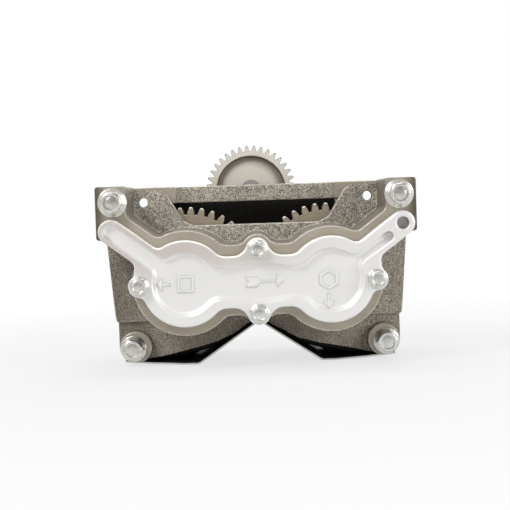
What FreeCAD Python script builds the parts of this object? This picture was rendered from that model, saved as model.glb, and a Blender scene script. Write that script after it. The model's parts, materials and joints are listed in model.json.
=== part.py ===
import FreeCAD, Part

import math
import os

from FreeCAD import Vector
import Sketcher

# Engine balancer: two unbalanced shafts, geared together one to one, that turn in a split
# iron casting under an engine block. An idler brings the drive from the crankshaft gear.
# Lengths are millimetres. X runs across the engine, Y runs back from the front face and
# Z points up to the block. While a piece is shaped, Y is zero on the gasket face and Z is
# zero on the line through both shaft axes. Each finished piece is then placed so that the
# origin of the assembly is the middle of the bolt pattern on the block face.

SIZES = [
    # Places of the shafts and the block face
    ("shaft_spacing", 127.0, "between the two balance shaft axes"),
    ("block_height", 86.0, "shaft line up to the block face"),
    # Front casting
    ("front_depth", 67.0, "gasket face back to the joint face"),
    ("wall_thickness", 12.0, "front wall, joint face side"),
    ("lower_wall_thickness", 8.0, "set back lower part of the front wall"),
    ("boss_radius", 46.0, "machined lobe round each shaft"),
    ("boss_draft", 2.0, "draft of the boss in degrees"),
    ("boss_waist_top", 32.0, "shaft line up to the waist of the boss"),
    ("boss_waist_bottom", 29.4, "shaft line down to the waist of the boss"),
    ("pad_outer", 139.5, "middle to the outer side of an upper corner pad"),
    ("pad_width", 26.5, "upper corner pad, side to side"),
    ("pad_round", 2.5, "rounded upright edges of a pad"),
    ("pad_bottom", 39.5, "shaft line up to the underside of a pad"),
    ("ear_top", 83.0, "shaft line up to the top of the ears"),
    ("window_sill", 49.7, "shaft line up to the sill of the gear window"),
    ("window_half", 75.5, "middle to the side of the gear window"),
    ("wall_inset", 2.7, "side of a pad in to the side of the wall below it"),
    ("wall_lean", 5.8, "side of the wall, in from the pads to the shoulder"),
    ("shoulder_drop", 37.0, "shaft line down to the shoulder of the wall"),
    ("ear_hole_inset", 36.9, "side of a pad in to the locating hole in an ear"),
    ("ear_hole_z", 72.0, "shaft line up to a locating hole in an ear"),
    ("ear_hole_radius", 4.3, "locating hole in an ear"),
    ("cored_radius", 37.0, "outer radius of the cored ring round a bearing tube"),
    ("bearing_tube_radius", 27.0, "bearing tube in the front casting"),
    ("gallery_depth", 7.0, "oil gallery behind the cover"),
    # Cover
    ("cover_thickness", 12.0, "end cover over its rim"),
    ("cover_radius", 37.75, "lobe of the cover round each shaft"),
    ("cover_waist", 22.6, "half height of the waist of the cover"),
    ("cover_draft", 2.0, "draft of the cover edge in degrees"),
    ("gasket_thickness", 0.5, "paper gasket"),
    ("panel_depth", 6.0, "depth of the sunk panel"),
    ("panel_radius", 27.3, "lobe of the sunk panel"),
    ("panel_waist", 16.0, "half height of the waist of the sunk panel"),
    ("panel_draft", 14.0, "draft of the sunk panel wall in degrees"),
    ("arm_end_inset", 13.5, "side of a pad in to the centre of an arm end"),
    ("arm_end_z", 46.7, "shaft line up to the centre of an arm end"),
    ("arm_root_x", 92.4, "middle to the centre of an arm root"),
    ("arm_root_z", 21.6, "shaft line up to the centre of an arm root"),
    ("arm_radius", 10.9, "half width of an arm of the cover"),
    ("arm_margin", 7.0, "machined face that shows above an arm"),
    ("left_slot_radius", 6.6, "half width of the slot in the left arm"),
    ("right_slot_radius", 4.2, "half width of the slot in the right arm"),
    ("right_port_radius", 5.2, "round recess in the end of the right arm"),
    ("right_port_depth", 9.0, "depth of the round recess in the right arm"),
    # Cover bolts
    ("cover_bolt_side", 102.5, "middle to a side cover bolt"),
    ("cover_bolt_drop", 1.0, "side cover bolts below the shaft line"),
    ("cover_bolt_rise", 27.7, "shaft line to the middle cover bolts"),
    ("side_ear_radius", 10.0, "cover ear round a side bolt"),
    ("middle_ear_radius", 10.2, "cover ear round a middle bolt"),
    ("top_ear_margin", 3.2, "machined face past the cover at the top bolt"),
    ("small_thread_radius", 4.0, "thread of the small bolts"),
    ("small_flats", 13.0, "across flats of the small bolts"),
    ("small_flange_radius", 8.8, "flange of the small bolts"),
    ("small_head_height", 8.0, "head of the small bolts with its flange"),
    ("cover_bolt_length", 34.0, "cover bolts under the head"),
    # Casting bolts
    ("upper_bolt_inset", 14.9, "side of a pad in to an upper casting bolt"),
    ("upper_bolt_z", 72.0, "shaft line up to an upper casting bolt"),
    ("lower_bolt_inset", 24.0, "side of a pad in to a lower casting bolt"),
    ("lower_bolt_z", 61.0, "shaft line down to a lower casting bolt"),
    ("large_thread_radius", 6.0, "thread of the casting bolts"),
    ("large_flats", 17.0, "across flats of the casting bolts"),
    ("large_flange_radius", 12.7, "flange of the casting bolts"),
    ("large_head_height", 12.5, "head of the casting bolts with its flange"),
    ("large_dome_radius", 6.6, "round top of a casting bolt head"),
    ("flange_height", 3.0, "flange of the casting bolts"),
    ("thread_reach", 30.0, "casting bolts past the joint face"),
    ("lower_boss_radius", 14.6, "round boss under a lower bolt"),
    ("lower_boss_inset", 2.2, "lower bolt in to the centre of its boss"),
    ("lower_boss_rise", 1.2, "lower bolt up to the centre of its boss"),
    ("lower_boss_depth", 17.0, "lower boss face in front of the joint face"),
    ("bolt_gap", 0.4, "bolt shank in a clearance hole, on the radius"),
    ("thread_gap", 0.05, "bolt thread in its tapped hole, on the radius"),
    # Rear casting
    ("rear_depth", 68.0, "joint face back to the rear face"),
    ("rear_wall_thickness", 15.0, "wall that holds the rear bushes"),
    ("rail_thickness", 8.0, "block rails"),
    ("rail_inner", 73.5, "middle to the inner side of a block rail"),
    ("column_width", 23.5, "upper column, side to side"),
    ("column_bottom", 46.0, "shaft line up to the underside of an upper column"),
    ("bar_setback", 21.0, "joint face back to the cross bar"),
    ("bar_thickness", 12.0, "cross bar, front to back"),
    ("bar_height", 15.0, "cross bar, top to bottom"),
    ("bar_fillet", 14.0, "round inner corners where the cross bar meets the rails"),
    ("shelf_width", 18.0, "thick front part of a rail, side to side"),
    ("rear_wall_top", 78.0, "shaft line up to the top of the rear wall"),
    ("side_wall_inset", 17.0, "side of a pad in to the inner face of a side wall"),
    ("side_wall_setback", 27.0, "joint face back to the front of a side wall"),
    ("lower_column_radius", 12.0, "lower bolt column in the rear casting"),
    ("rear_hub_radius", 27.0, "hub round a rear bush"),
    ("rear_hub_proud", 1.0, "rear hubs in front of the rear wall"),
    ("block_hole_inset", 49.5, "side of a pad in to a block bolt hole"),
    ("block_hole_pitch", 40.0, "between block bolt holes along the engine"),
    ("block_hole_radius", 6.5, "block bolt hole"),
    ("block_boss_radius", 12.0, "boss round a block bolt hole"),
    ("block_boss_depth", 18.0, "block bolt boss down from the block face"),
    ("block_hole_setback", 15.0, "joint face back to the first block bolt hole"),
    ("dowel_radius", 4.0, "locating dowel"),
    ("dowel_length", 16.0, "locating dowel"),
    ("dowel_inset", 11.5, "side of a pad in to a dowel"),
    ("dowel_z", 52.5, "shaft line up to a dowel"),
    # Shafts
    ("journal_radius", 15.0, "shaft in its bushes"),
    ("seat_radius", 17.0, "shaft under the gear and the weight"),
    ("collar_radius", 21.0, "collar between the gear and the weight"),
    ("collar_width", 4.0, "collar between the gear and the weight"),
    ("shaft_front_gap", 5.0, "shaft end behind the oil gallery"),
    ("bush_wall", 3.0, "wall of the shaft bushes"),
    ("running_gap", 0.05, "journal in its bush, on the radius"),
    ("thrust_washer_thickness", 2.0, "thrust washers"),
    ("thrust_washer_radius", 24.0, "thrust washers"),
    ("end_float", 0.3, "play beside each thrust washer"),
    ("fit_gap", 0.02, "pieces that are pressed or keyed together, on the radius"),
    # Timing gears and weights
    ("timing_module", 3.175, "module of the timing gears"),
    ("timing_width", 20.0, "face width of the timing gears"),
    ("tooth_play", 0.14, "thinning of each tooth at the pitch circle"),
    ("weight_radius", 56.0, "half moon weight"),
    ("weight_width", 22.0, "half moon weight"),
    ("weight_hub_radius", 27.0, "hub of a weight"),
    ("key_width", 8.0, "shaft keys"),
    ("key_height", 7.0, "shaft keys"),
    ("key_margin", 3.0, "key ends inside the piece they drive"),
    # Drive gear and idler
    ("drive_module", 2.25, "module of the drive gear and idler"),
    ("drive_width", 16.0, "face width of the drive gear and idler"),
    ("drive_gap", 5.0, "rear face of the casting to the drive gear"),
    ("drive_seat_radius", 12.5, "left shaft under the drive gear"),
    ("drive_thread_radius", 10.0, "thread on the rear end of the left shaft"),
    ("drive_key_width", 6.0, "drive gear key"),
    ("drive_washer_radius", 19.0, "washer behind the drive gear"),
    ("drive_washer_thickness", 3.0, "washer behind the drive gear"),
    ("drive_nut_flats", 30.0, "nut on the rear end of the left shaft"),
    ("drive_nut_height", 11.0, "nut on the rear end of the left shaft"),
    ("idler_offset", 3.5, "idler axis left of the middle"),
    ("dish_radius", 34.3, "mouth of the dish in the idler"),
    ("dish_depth", 7.0, "dish in the idler"),
    ("dish_step_radius", 24.5, "raised disc in the dish"),
    ("dish_step_height", 1.2, "raised disc in the dish"),
    ("spindle_radius", 7.5, "idler spindle"),
    ("idler_bush_wall", 2.5, "idler bush"),
    ("idler_washer_radius", 11.0, "washer on the front of the idler spindle"),
    ("idler_washer_thickness", 1.8, "washer on the front of the idler spindle"),
    ("idler_bolt_flats", 10.0, "bolt that holds the idler washer"),
    ("idler_bolt_head", 4.2, "head of the bolt that holds the idler washer"),
    ("idler_bolt_radius", 3.0, "thread of the bolt that holds the idler washer"),
    ("bracket_thickness", 12.0, "plate of the idler bracket"),
    ("bracket_boss_radius", 17.0, "boss of the bracket round the spindle"),
    ("bracket_foot_radius", 11.0, "feet of the idler bracket"),
    ("upper_foot_x", 52.0, "middle to the upper foot of the bracket"),
    ("upper_foot_z", 50.0, "shaft line up to the upper foot of the bracket"),
    ("lower_foot_x", 34.0, "middle to the lower foot of the bracket"),
    ("lower_foot_z", 16.0, "shaft line up to the lower foot of the bracket"),
    # Splash tray
    ("tray_thickness", 1.5, "sheet of the splash tray"),
    ("tray_setback", 15.0, "front edge of the tray in front of the joint face"),
    ("tray_length", 103.0, "splash tray, front to back"),
    ("tray_inset", 16.0, "side of a pad in to the side edge of the tray"),
    ("tray_edge_drop", 72.0, "shaft line down to the side edge of the tray"),
    ("tray_flat_width", 27.5, "screwed flat of the tray, side to side"),
    ("tray_flat_drop", 74.4, "shaft line down to the inner end of a flat"),
    ("tray_trough_x", 56.5, "middle to the inner end of a trough"),
    ("tray_trough_drop", 76.0, "shaft line down to the floor of a trough"),
    ("tray_ridge_drop", 38.0, "shaft line down to the ridge of the tray"),
    ("tray_screw_radius", 3.0, "screws of the tray"),
    ("tray_screw_inset", 15.5, "side edge of the tray in to a screw"),
]

TIMING_TEETH = 40
DRIVE_TEETH = 53
IDLER_TEETH = 37
PRESSURE_ANGLE = math.radians(20)
LEFT_TOOTH_ANGLE = -3.05      # degrees from the line to the right shaft, at rest
IDLER_TOOTH_ANGLE = 84.4      # degrees from the X axis, at rest
WAIST_WAVE = 3.5              # how far the panel narrows beside the middle bolts

doc = FreeCAD.newDocument("engine_balancer")
sheet = doc.addObject("Spreadsheet::Sheet", "Sizes")
for row, (alias, number, meaning) in enumerate(SIZES, start=1):
    sheet.set(f"A{row}", alias)
    sheet.set(f"B{row}", str(number))
    sheet.setAlias(f"B{row}", alias)
    sheet.set(f"C{row}", meaning)
doc.recompute()


class Size:
    """A length that knows its number and the sheet expression behind it."""

    def __init__(self, number, text):
        self.number = float(number)
        self.text = text

    def joined(self, sign, other, number):
        text = other.text if isinstance(other, Size) else repr(other)
        return Size(number, f"({self.text} {sign} {text})")

    def __float__(self):
        return self.number

    def __add__(self, other):
        return self.joined("+", other, self.number + float(other))

    def __radd__(self, other):
        return self + other

    def __sub__(self, other):
        return self.joined("-", other, self.number - float(other))

    def __rsub__(self, other):
        return (self * -1) + other

    def __mul__(self, other):
        return self.joined("*", other, self.number * float(other))

    def __rmul__(self, other):
        return self * other

    def __truediv__(self, other):
        return self.joined("/", other, self.number / float(other))

    def __neg__(self):
        return self * -1

    def root(self):
        return Size(math.sqrt(self.number), f"sqrt({self.text})")


class Sheet:
    """Reads each alias of the sheet as a Size."""

    def __getattr__(self, alias):
        return Size(sheet.get(alias), f"Sizes.{alias}")


S = Sheet()
ZERO = Size(0, "0")
NODES = {}

# Derived places, each from the sheet
half_spacing = S.shaft_spacing / 2
pad_inner = S.pad_outer - S.pad_width
wall_side_top = S.pad_outer - S.wall_inset
wall_side_bottom = wall_side_top - S.wall_lean
ear_hole_x = S.pad_outer - S.ear_hole_inset
arm_end_x = S.pad_outer - S.arm_end_inset
upper_bolt_x = S.pad_outer - S.upper_bolt_inset
lower_bolt_x = S.pad_outer - S.lower_bolt_inset
column_inner = S.pad_outer - S.column_width
side_wall_inner = S.pad_outer - S.side_wall_inset
block_hole_x = S.pad_outer - S.block_hole_inset
dowel_x = S.pad_outer - S.dowel_inset
tray_half = S.pad_outer - S.tray_inset
tray_flat_end = tray_half - S.tray_flat_width
tray_screw_x = tray_half - S.tray_screw_inset
joint_face = S.front_depth
rear_face = joint_face + S.rear_depth
rear_wall_front = rear_face - S.rear_wall_thickness
block_middle = joint_face + S.block_hole_setback + S.block_hole_pitch / 2
shaft_front = S.gallery_depth + S.shaft_front_gap
front_washer_face = joint_face + S.end_float
gear_front = front_washer_face + S.thrust_washer_thickness + S.end_float
gear_back = gear_front + S.timing_width
weight_front = gear_back + S.collar_width
weight_back = weight_front + S.weight_width
rear_washer_back = rear_wall_front - S.rear_hub_proud - S.end_float
rear_washer_front = rear_washer_back - S.thrust_washer_thickness
shaft_shoulder = rear_washer_front - S.end_float
drive_front = rear_face + S.drive_gap
drive_back = drive_front + S.drive_width
bracket_front = drive_back + S.thrust_washer_thickness + S.end_float * 2
bracket_back = bracket_front + S.bracket_thickness
bush_radius = S.journal_radius + S.bush_wall
drive_centres = S.drive_module * (DRIVE_TEETH + IDLER_TEETH) / 2
idler_x = -S.idler_offset
idler_reach = half_spacing - S.idler_offset
idler_z = (drive_centres * drive_centres - idler_reach * idler_reach).root()
cover_back = -S.gasket_thickness
cover_front = cover_back - S.cover_thickness
lower_boss_face = joint_face - S.lower_boss_depth
bar_front = joint_face + S.bar_setback
tray_front = joint_face - S.tray_setback

ALONG_BACK = FreeCAD.Rotation(Vector(1, 0, 0), -90)     # local Z turned to point back
ALONG_FRONT = FreeCAD.Rotation(Vector(1, 0, 0), 90)     # local Z turned to point forward
UPRIGHT = FreeCAD.Rotation()


# Small helpers for the document

def bind(obj, **sizes):
    """Ties properties of an object to the sheet. A double underscore stands for a dot."""
    for name, size in sizes.items():
        prop = name.replace("__", ".")
        text = size.text if isinstance(size, Size) else repr(size)
        obj.setExpression(prop, text)
    return obj


def place(obj, x, y, z, rotation=UPRIGHT):
    obj.Placement = FreeCAD.Placement(Vector(float(x), float(y), float(z)), rotation)
    return bind(obj, Placement__Base__x=x, Placement__Base__y=y, Placement__Base__z=z)


def rod(name, radius, length, x, y, z, rotation=ALONG_BACK):
    obj = doc.addObject("Part::Cylinder", name)
    bind(obj, Radius=radius, Height=length)
    return place(obj, x, y, z, rotation)


def cone(name, radius, top_radius, length, x, y, z, rotation=ALONG_FRONT):
    obj = doc.addObject("Part::Cone", name)
    bind(obj, Radius1=radius, Radius2=top_radius, Height=length)
    return place(obj, x, y, z, rotation)


def hexagon(name, flats, length, x, y, z, rotation=ALONG_FRONT):
    obj = doc.addObject("Part::Prism", name)
    obj.Polygon = 6
    bind(obj, Circumradius=flats / math.sqrt(3), Height=length)
    return place(obj, x, y, z, rotation)


def block(name, x, y, z):
    """A box from three pairs of lowest and highest coordinates."""
    obj = doc.addObject("Part::Box", name)
    bind(obj, Length=x[1] - x[0], Width=y[1] - y[0], Height=z[1] - z[0])
    return place(obj, x[0], y[0], z[0])


def fused(name, pieces):
    obj = doc.addObject("Part::MultiFuse", name)
    obj.Shapes = pieces
    obj.Refine = True
    return obj


def cut(name, base, tools):
    obj = doc.addObject("Part::Cut", name)
    obj.Base = base
    obj.Tool = tools[0] if len(tools) == 1 else fused(name + "_tools", tools)
    obj.Refine = True
    return obj


def common(name, base, tool):
    obj = doc.addObject("Part::Common", name)
    obj.Base = base
    obj.Tool = tool
    obj.Refine = True
    return obj


def hand_in(node, obj):
    """Names a finished piece and moves it from the shaft frame to the block face frame."""
    obj.Label = node
    place(obj, ZERO, -block_middle, -S.block_height)
    NODES[node] = obj
    return obj


def hand_in_group(node, pieces):
    group = doc.addObject("Part::Compound", node)
    group.Links = pieces
    return hand_in(node, group)


# Flat outlines in the plane of the front face, all facing forward

FORWARD = Vector(0, -1, 0)


def mirrored(side, points):
    return [(side * float(x), float(z)) for x, z in points]


def disc(x, z, radius):
    circle = Part.makeCircle(float(radius), Vector(float(x), 0, float(z)), FORWARD)
    return Part.Face(Part.Wire(circle))


def polygon(points):
    pairs = [(float(x), float(z)) for x, z in points]
    area = sum(a[0] * b[1] - b[0] * a[1] for a, b in zip(pairs, pairs[1:] + pairs[:1]))
    ordered = pairs if area > 0 else pairs[::-1]
    corners = [Vector(x, 0, z) for x, z in ordered]
    return Part.Face(Part.makePolygon(corners + corners[:1]))


def bar(x1, z1, x2, z2, radius):
    """A straight band with round ends."""
    start = Vector(float(x1), 0, float(z1))
    end = Vector(float(x2), 0, float(z2))
    along = (end - start).normalize()
    aside = Vector(-along.z, 0, along.x) * float(radius)
    corners = [start + aside, end + aside, end - aside, start - aside]
    band = polygon([(corner.x, corner.z) for corner in corners])
    return joined([band, disc(x1, z1, radius), disc(x2, z2, radius)])


def joined(faces):
    return faces[0].multiFuse(faces[1:]).removeSplitter().Faces[0]


def grown(face, distance):
    return face.makeOffset2D(distance, 0, False, False, False).Faces[0]


def smoothed(face, inside, outside):
    """Rounds the inside corners of an outline, then its outside corners."""
    filled = grown(grown(face, inside), -inside)
    return grown(grown(filled, -outside), outside)


def extruded(name, face, start, length, draft=0.0, forward=False):
    """A flat outline drawn out from the plane at start, with draft where it has some."""
    outline = doc.addObject("Part::Feature", name + "_outline")
    outline.Shape = face
    place(outline, ZERO, start, ZERO)
    obj = doc.addObject("Part::Extrusion", name)
    obj.Base = outline
    obj.DirMode = "Custom"
    obj.Dir = FORWARD if forward else -FORWARD
    obj.Solid = True
    bind(obj, LengthFwd=length)
    if draft:
        bind(obj, TaperAngle=draft)
    return obj


# Turned pieces: a half section is drawn as radius and distance back, then revolved

def turned(name, profile, x=ZERO, z=ZERO):
    body = doc.addObject("PartDesign::Body", name)
    plane = [item for item in body.Origin.OriginFeatures if item.Role == "XY_Plane"][0]
    sketch = body.newObject("Sketcher::SketchObject", name + "_section")
    sketch.AttachmentSupport = [(plane, "")]
    sketch.MapMode = "FlatFace"
    corners = [Vector(float(radius), float(back), 0) for radius, back in profile]
    for start, end in zip(corners, corners[1:] + corners[:1]):
        sketch.addGeometry(Part.LineSegment(start, end), False)
    count = len(profile)
    for line in range(count):
        sketch.addConstraint(Sketcher.Constraint("Coincident", line, 2, (line + 1) % count, 1))
    for line, (radius, back) in enumerate(profile):
        across = sketch.addConstraint(
            Sketcher.Constraint("DistanceX", -1, 1, line, 1, float(radius)))
        along = sketch.addConstraint(
            Sketcher.Constraint("DistanceY", -1, 1, line, 1, float(back)))
        sketch.setExpression(f"Constraints[{across}]", radius.text)
        sketch.setExpression(f"Constraints[{along}]", back.text)
    turn = body.newObject("PartDesign::Revolution", name + "_turn")
    turn.Profile = sketch
    turn.ReferenceAxis = (sketch, ["V_Axis"])
    turn.Angle = 360
    place(body, x, ZERO, z)
    return body


def ring(name, inner, outer, start, length, x=ZERO, z=ZERO):
    end = start + length
    section = [(inner, start), (outer, start), (outer, end), (inner, end)]
    return turned(name, section, x, z)


def moved_to_block(node, body, x=ZERO, z=ZERO):
    """A turned piece that is finished as it is, set in its place in the assembly."""
    body.Label = node
    place(body, x, -block_middle, z - S.block_height)
    NODES[node] = body
    return body


# Gears

def involute(angle):
    return math.tan(angle) - angle


def polar(radius, angle):
    return Vector(radius * math.cos(angle), 0, radius * math.sin(angle))


def toothed_outline(teeth, module, thinning, first_tooth):
    """Outline of a spur gear, with one tooth centred at the first_tooth angle."""
    pitch = teeth * module / 2
    base = pitch * math.cos(PRESSURE_ANGLE)
    tip = pitch + module
    root = pitch - 1.25 * module
    start = max(base, root)
    half_tooth = math.pi / (2 * teeth) - thinning / (2 * pitch) + involute(PRESSURE_ANGLE)
    steps = 4
    radii = [start + (tip - start) * step / steps for step in range(steps + 1)]
    halves = [half_tooth - involute(math.acos(min(1.0, base / radius))) for radius in radii]
    edges = []
    for tooth in range(teeth):
        middle = first_tooth + 2 * math.pi * tooth / teeth
        rising = [polar(r, middle - half) for r, half in zip(radii, halves)]
        falling = [polar(r, middle + half) for r, half in zip(radii, halves)][::-1]
        foot_in = polar(root, middle - halves[0])
        foot_out = polar(root, middle + halves[0])
        if root < start:
            edges.append(Part.LineSegment(foot_in, rising[0]).toShape())
        edges.append(curve_through(rising))
        edges.append(Part.Arc(rising[-1], polar(tip, middle), falling[0]).toShape())
        edges.append(curve_through(falling))
        if root < start:
            edges.append(Part.LineSegment(falling[-1], foot_out).toShape())
        gap = middle + math.pi / teeth
        next_foot = polar(root, middle + 2 * math.pi / teeth - halves[0])
        edges.append(Part.Arc(foot_out, polar(root, gap), next_foot).toShape())
    return Part.Face(Part.Wire(edges))


def curve_through(points):
    curve = Part.BSplineCurve()
    curve.interpolate(points)
    return curve.toShape()


def mating_tooth(line_angle, tooth_angle, teeth, mate_teeth):
    """Angle of a tooth of the mate, for a gear with a tooth at tooth_angle."""
    step = 2 * math.pi / teeth
    shift = math.remainder(tooth_angle - line_angle, step)
    gap = line_angle + math.pi - shift * teeth / mate_teeth
    return gap + math.pi / mate_teeth


def spur_gear(name, teeth, module, width, start, first_tooth, x, z):
    """Toothed blank whose tooth ends are chamfered by a turned blank."""
    face = toothed_outline(teeth, float(module), float(S.tooth_play), first_tooth)
    prism = doc.addObject("Part::Feature", name + "_teeth")
    prism.Shape = face.extrude(Vector(0, float(width), 0))
    place(prism, x, start, z)
    tip = module * (teeth + 2) / 2 + 0.1
    chamfer = module * 0.32
    section = [
        (ZERO, start),
        (tip - chamfer, start),
        (tip, start + chamfer),
        (tip, start + width - chamfer),
        (tip - chamfer, start + width),
        (ZERO, start + width),
    ]
    blank = turned(name + "_blank", section, x, z)
    return common(name + "_chamfered", prism, blank)


# Front casting

def boss_outline():
    """Machined front face: two lobes, the waist, the bolt ears, the arms and the pads."""
    faces = []
    rise = float(S.arm_margin) / 2
    radius = float(S.arm_radius) + rise
    slope = math.atan2(float(S.arm_end_z - S.arm_root_z), float(arm_end_x - S.arm_root_x))
    shift_x = -rise * math.sin(slope)
    shift_z = rise * math.cos(slope)
    for side in (-1, 1):
        faces.append(disc(S.cover_bolt_side * side, -S.cover_bolt_drop, S.side_ear_radius))
        faces.append(bar(
            (arm_end_x + shift_x) * side, S.arm_end_z + shift_z,
            (S.arm_root_x + shift_x) * side, S.arm_root_z + shift_z, radius))
        faces.append(pad_outline(side))
    ear = S.middle_ear_radius + S.top_ear_margin
    faces.append(waist_outline(S.boss_radius, ear, S.middle_ear_radius, S.boss_waist_top,
                               S.boss_waist_bottom, 12.0))
    return smoothed(joined(faces), 8.0, 2.0)


def waist_outline(lobe, top_ear, bottom_ear, top, bottom, valley):
    """Two lobes and the middle ears, joined by a waist with round valleys beside the ears."""
    faces = [disc(half_spacing * side, 0, lobe) for side in (-1, 1)]
    faces.append(disc(0, S.cover_bolt_rise, top_ear))
    faces.append(disc(0, -S.cover_bolt_rise, bottom_ear))
    faces.append(polygon([
        (-half_spacing, top), (half_spacing, top),
        (half_spacing, -bottom), (-half_spacing, -bottom)]))
    return smoothed(joined(faces), valley, 2.0)


def pad_outline(side):
    """Corner pad that an upper bolt goes through, with rounded upright edges."""
    corners = polygon(mirrored(side, [
        (pad_inner, S.block_height), (S.pad_outer, S.block_height),
        (S.pad_outer, S.pad_bottom), (pad_inner, S.pad_bottom)]))
    return smoothed(corners, 1.0, float(S.pad_round))


def front_wall_outline():
    """Sandy wall behind the boss, with its two ears and the sill of the gear window."""
    ear = S.window_half
    right = [
        (0, S.window_sill), (ear - 18.0, S.window_sill), (ear - 8.5, S.window_sill + 5.0),
        (ear, S.window_sill + 19.5), (ear + 5.5, S.ear_top - 4.5), (ear + 13.0, S.ear_top),
        (S.pad_outer, S.ear_top), (S.pad_outer, S.pad_bottom), (wall_side_top, S.pad_bottom - 4.0),
        (wall_side_bottom, -S.shoulder_drop), (0, -S.shoulder_drop)]
    left = mirrored(-1, right[1:-1])
    return smoothed(polygon(right + left[::-1]), 9.0, 3.5)


def lower_wall_outline():
    """Set back lower part of the wall, down to the edge that hangs over the tray."""
    boss_edge = lower_bolt_x + S.lower_boss_radius - 1.0
    sag = S.lower_bolt_z + 10.0
    right = [
        (0, 0), (boss_edge, 0), (boss_edge, -S.lower_bolt_z), (lower_bolt_x, -sag - 2.0),
        (lower_bolt_x - 17.0, -sag), (lower_bolt_x - 31.0, -sag + 2.5),
        (S.boss_radius + 6.0, -sag + 8.8), (S.boss_radius - 8.0, -sag + 13.0),
        (S.boss_radius - 21.5, -sag + 19.8), (S.boss_radius - 36.0, -sag + 28.2),
        (0, -sag + 32.5)]
    left = mirrored(-1, right[1:-1])
    return smoothed(polygon(right + left[::-1]), 12.0, 3.0)


def gallery_outline():
    """Oil gallery under the cover that feeds both front bushes."""
    wall = float(S.cover_radius) - float(bush_radius) - 6.0
    faces = [disc(half_spacing * side, 0, bush_radius + wall) for side in (-1, 1)]
    height = S.panel_waist - 5.0
    faces.append(polygon([
        (-half_spacing, height), (half_spacing, height),
        (half_spacing, -height), (-half_spacing, -height)]))
    return smoothed(joined(faces), 6.0, 2.0)


def make_front_housing():
    wall_front = joint_face - S.wall_thickness
    boss = extruded("boss", boss_outline(), ZERO, wall_front + 1.0, S.boss_draft)
    wall = extruded("front_wall", front_wall_outline(), wall_front, S.wall_thickness)
    lower = extruded("lower_wall", lower_wall_outline(),
                     joint_face - S.lower_wall_thickness, S.lower_wall_thickness)
    parts = [boss, wall, lower]
    for side, name in ((-1, "left"), (1, "right")):
        parts.append(extruded(name + "_pad", pad_outline(side), ZERO, joint_face))
        parts.append(cone(name + "_lower_boss", S.lower_boss_radius + 1.5, S.lower_boss_radius,
                          S.lower_boss_depth, (lower_bolt_x - S.lower_boss_inset) * side,
                          joint_face, S.lower_boss_rise - S.lower_bolt_z))
    rough = fused("front_rough", parts)
    envelope = block("front_envelope", (-S.pad_outer, S.pad_outer), (ZERO, joint_face),
                     (-S.block_height * 2, S.block_height))
    body = common("front_machined", rough, envelope)
    tools = [extruded("gallery", gallery_outline(), ZERO, S.gallery_depth)]
    for side, name in ((-1, "left"), (1, "right")):
        shaft_x = half_spacing * side
        bore = bush_radius + S.fit_gap
        tools.append(rod(name + "_front_bore", bore, joint_face, shaft_x, ZERO, ZERO))
        outer = rod(name + "_core_outer", S.cored_radius, joint_face, shaft_x,
                    S.gallery_depth * 2, ZERO)
        inner = rod(name + "_core_inner", S.bearing_tube_radius, joint_face, shaft_x,
                    S.gallery_depth * 2, ZERO)
        tools.append(cut(name + "_core", outer, [inner]))
        tools.append(rod(name + "_ear_hole", S.ear_hole_radius, joint_face,
                         ear_hole_x * side, ZERO, S.ear_hole_z))
        tools.append(rod(name + "_upper_hole", S.large_thread_radius + S.bolt_gap, joint_face,
                         upper_bolt_x * side, ZERO, S.upper_bolt_z))
        tools.append(rod(name + "_lower_hole", S.large_thread_radius + S.bolt_gap, joint_face,
                         lower_bolt_x * side, ZERO, -S.lower_bolt_z))
        tools.append(rod(name + "_dowel_hole_front", S.dowel_radius + S.fit_gap,
                         S.dowel_length, dowel_x * side,
                         joint_face - S.dowel_length / 2, S.dowel_z))
    tools.append(extruded("below_tray_front", below_tray_outline(), ZERO, joint_face))
    for number, (x, z) in enumerate(cover_bolt_places()):
        depth = S.cover_bolt_length - S.cover_thickness - S.gasket_thickness + 2.0
        tools.append(rod(f"cover_tapping_{number}", S.small_thread_radius + S.thread_gap,
                         depth, x, ZERO, z))
    hand_in("front_housing", cut("front_housing", body, tools))


def cover_bolt_places():
    return [
        (-S.cover_bolt_side, -S.cover_bolt_drop),
        (S.cover_bolt_side, -S.cover_bolt_drop),
        (ZERO, S.cover_bolt_rise),
        (ZERO, -S.cover_bolt_rise),
    ]


# End cover and its gasket

def cover_outline():
    faces = []
    for side in (-1, 1):
        faces.append(disc(S.cover_bolt_side * side, -S.cover_bolt_drop, S.side_ear_radius))
        faces.append(disc((S.cover_bolt_side - 5.5) * side, 12, S.side_ear_radius))
        faces.append(bar(arm_end_x * side, S.arm_end_z,
                         S.arm_root_x * side, S.arm_root_z, S.arm_radius))
    faces.append(waist_outline(S.cover_radius, S.middle_ear_radius, S.middle_ear_radius,
                               S.cover_waist, S.cover_waist, 13.0))
    return smoothed(joined(faces), 6.5, 2.5)


def panel_waist_edge(side, middle):
    """Upper or lower edge of the panel between its lobes, a soft wave round the bolt ear."""
    neck = float(half_spacing - S.panel_radius)
    steps = 10
    edge = [(-half_spacing, side * (float(middle) - WAIST_WAVE))]
    for step in range(steps + 1):
        x = neck * (2 * step / steps - 1)
        dip = WAIST_WAVE * (1 - math.cos(math.pi * x / neck)) / 2
        edge.append((x, side * (float(middle) - dip)))
    edge.append((half_spacing, side * (float(middle) - WAIST_WAVE)))
    return edge


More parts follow.
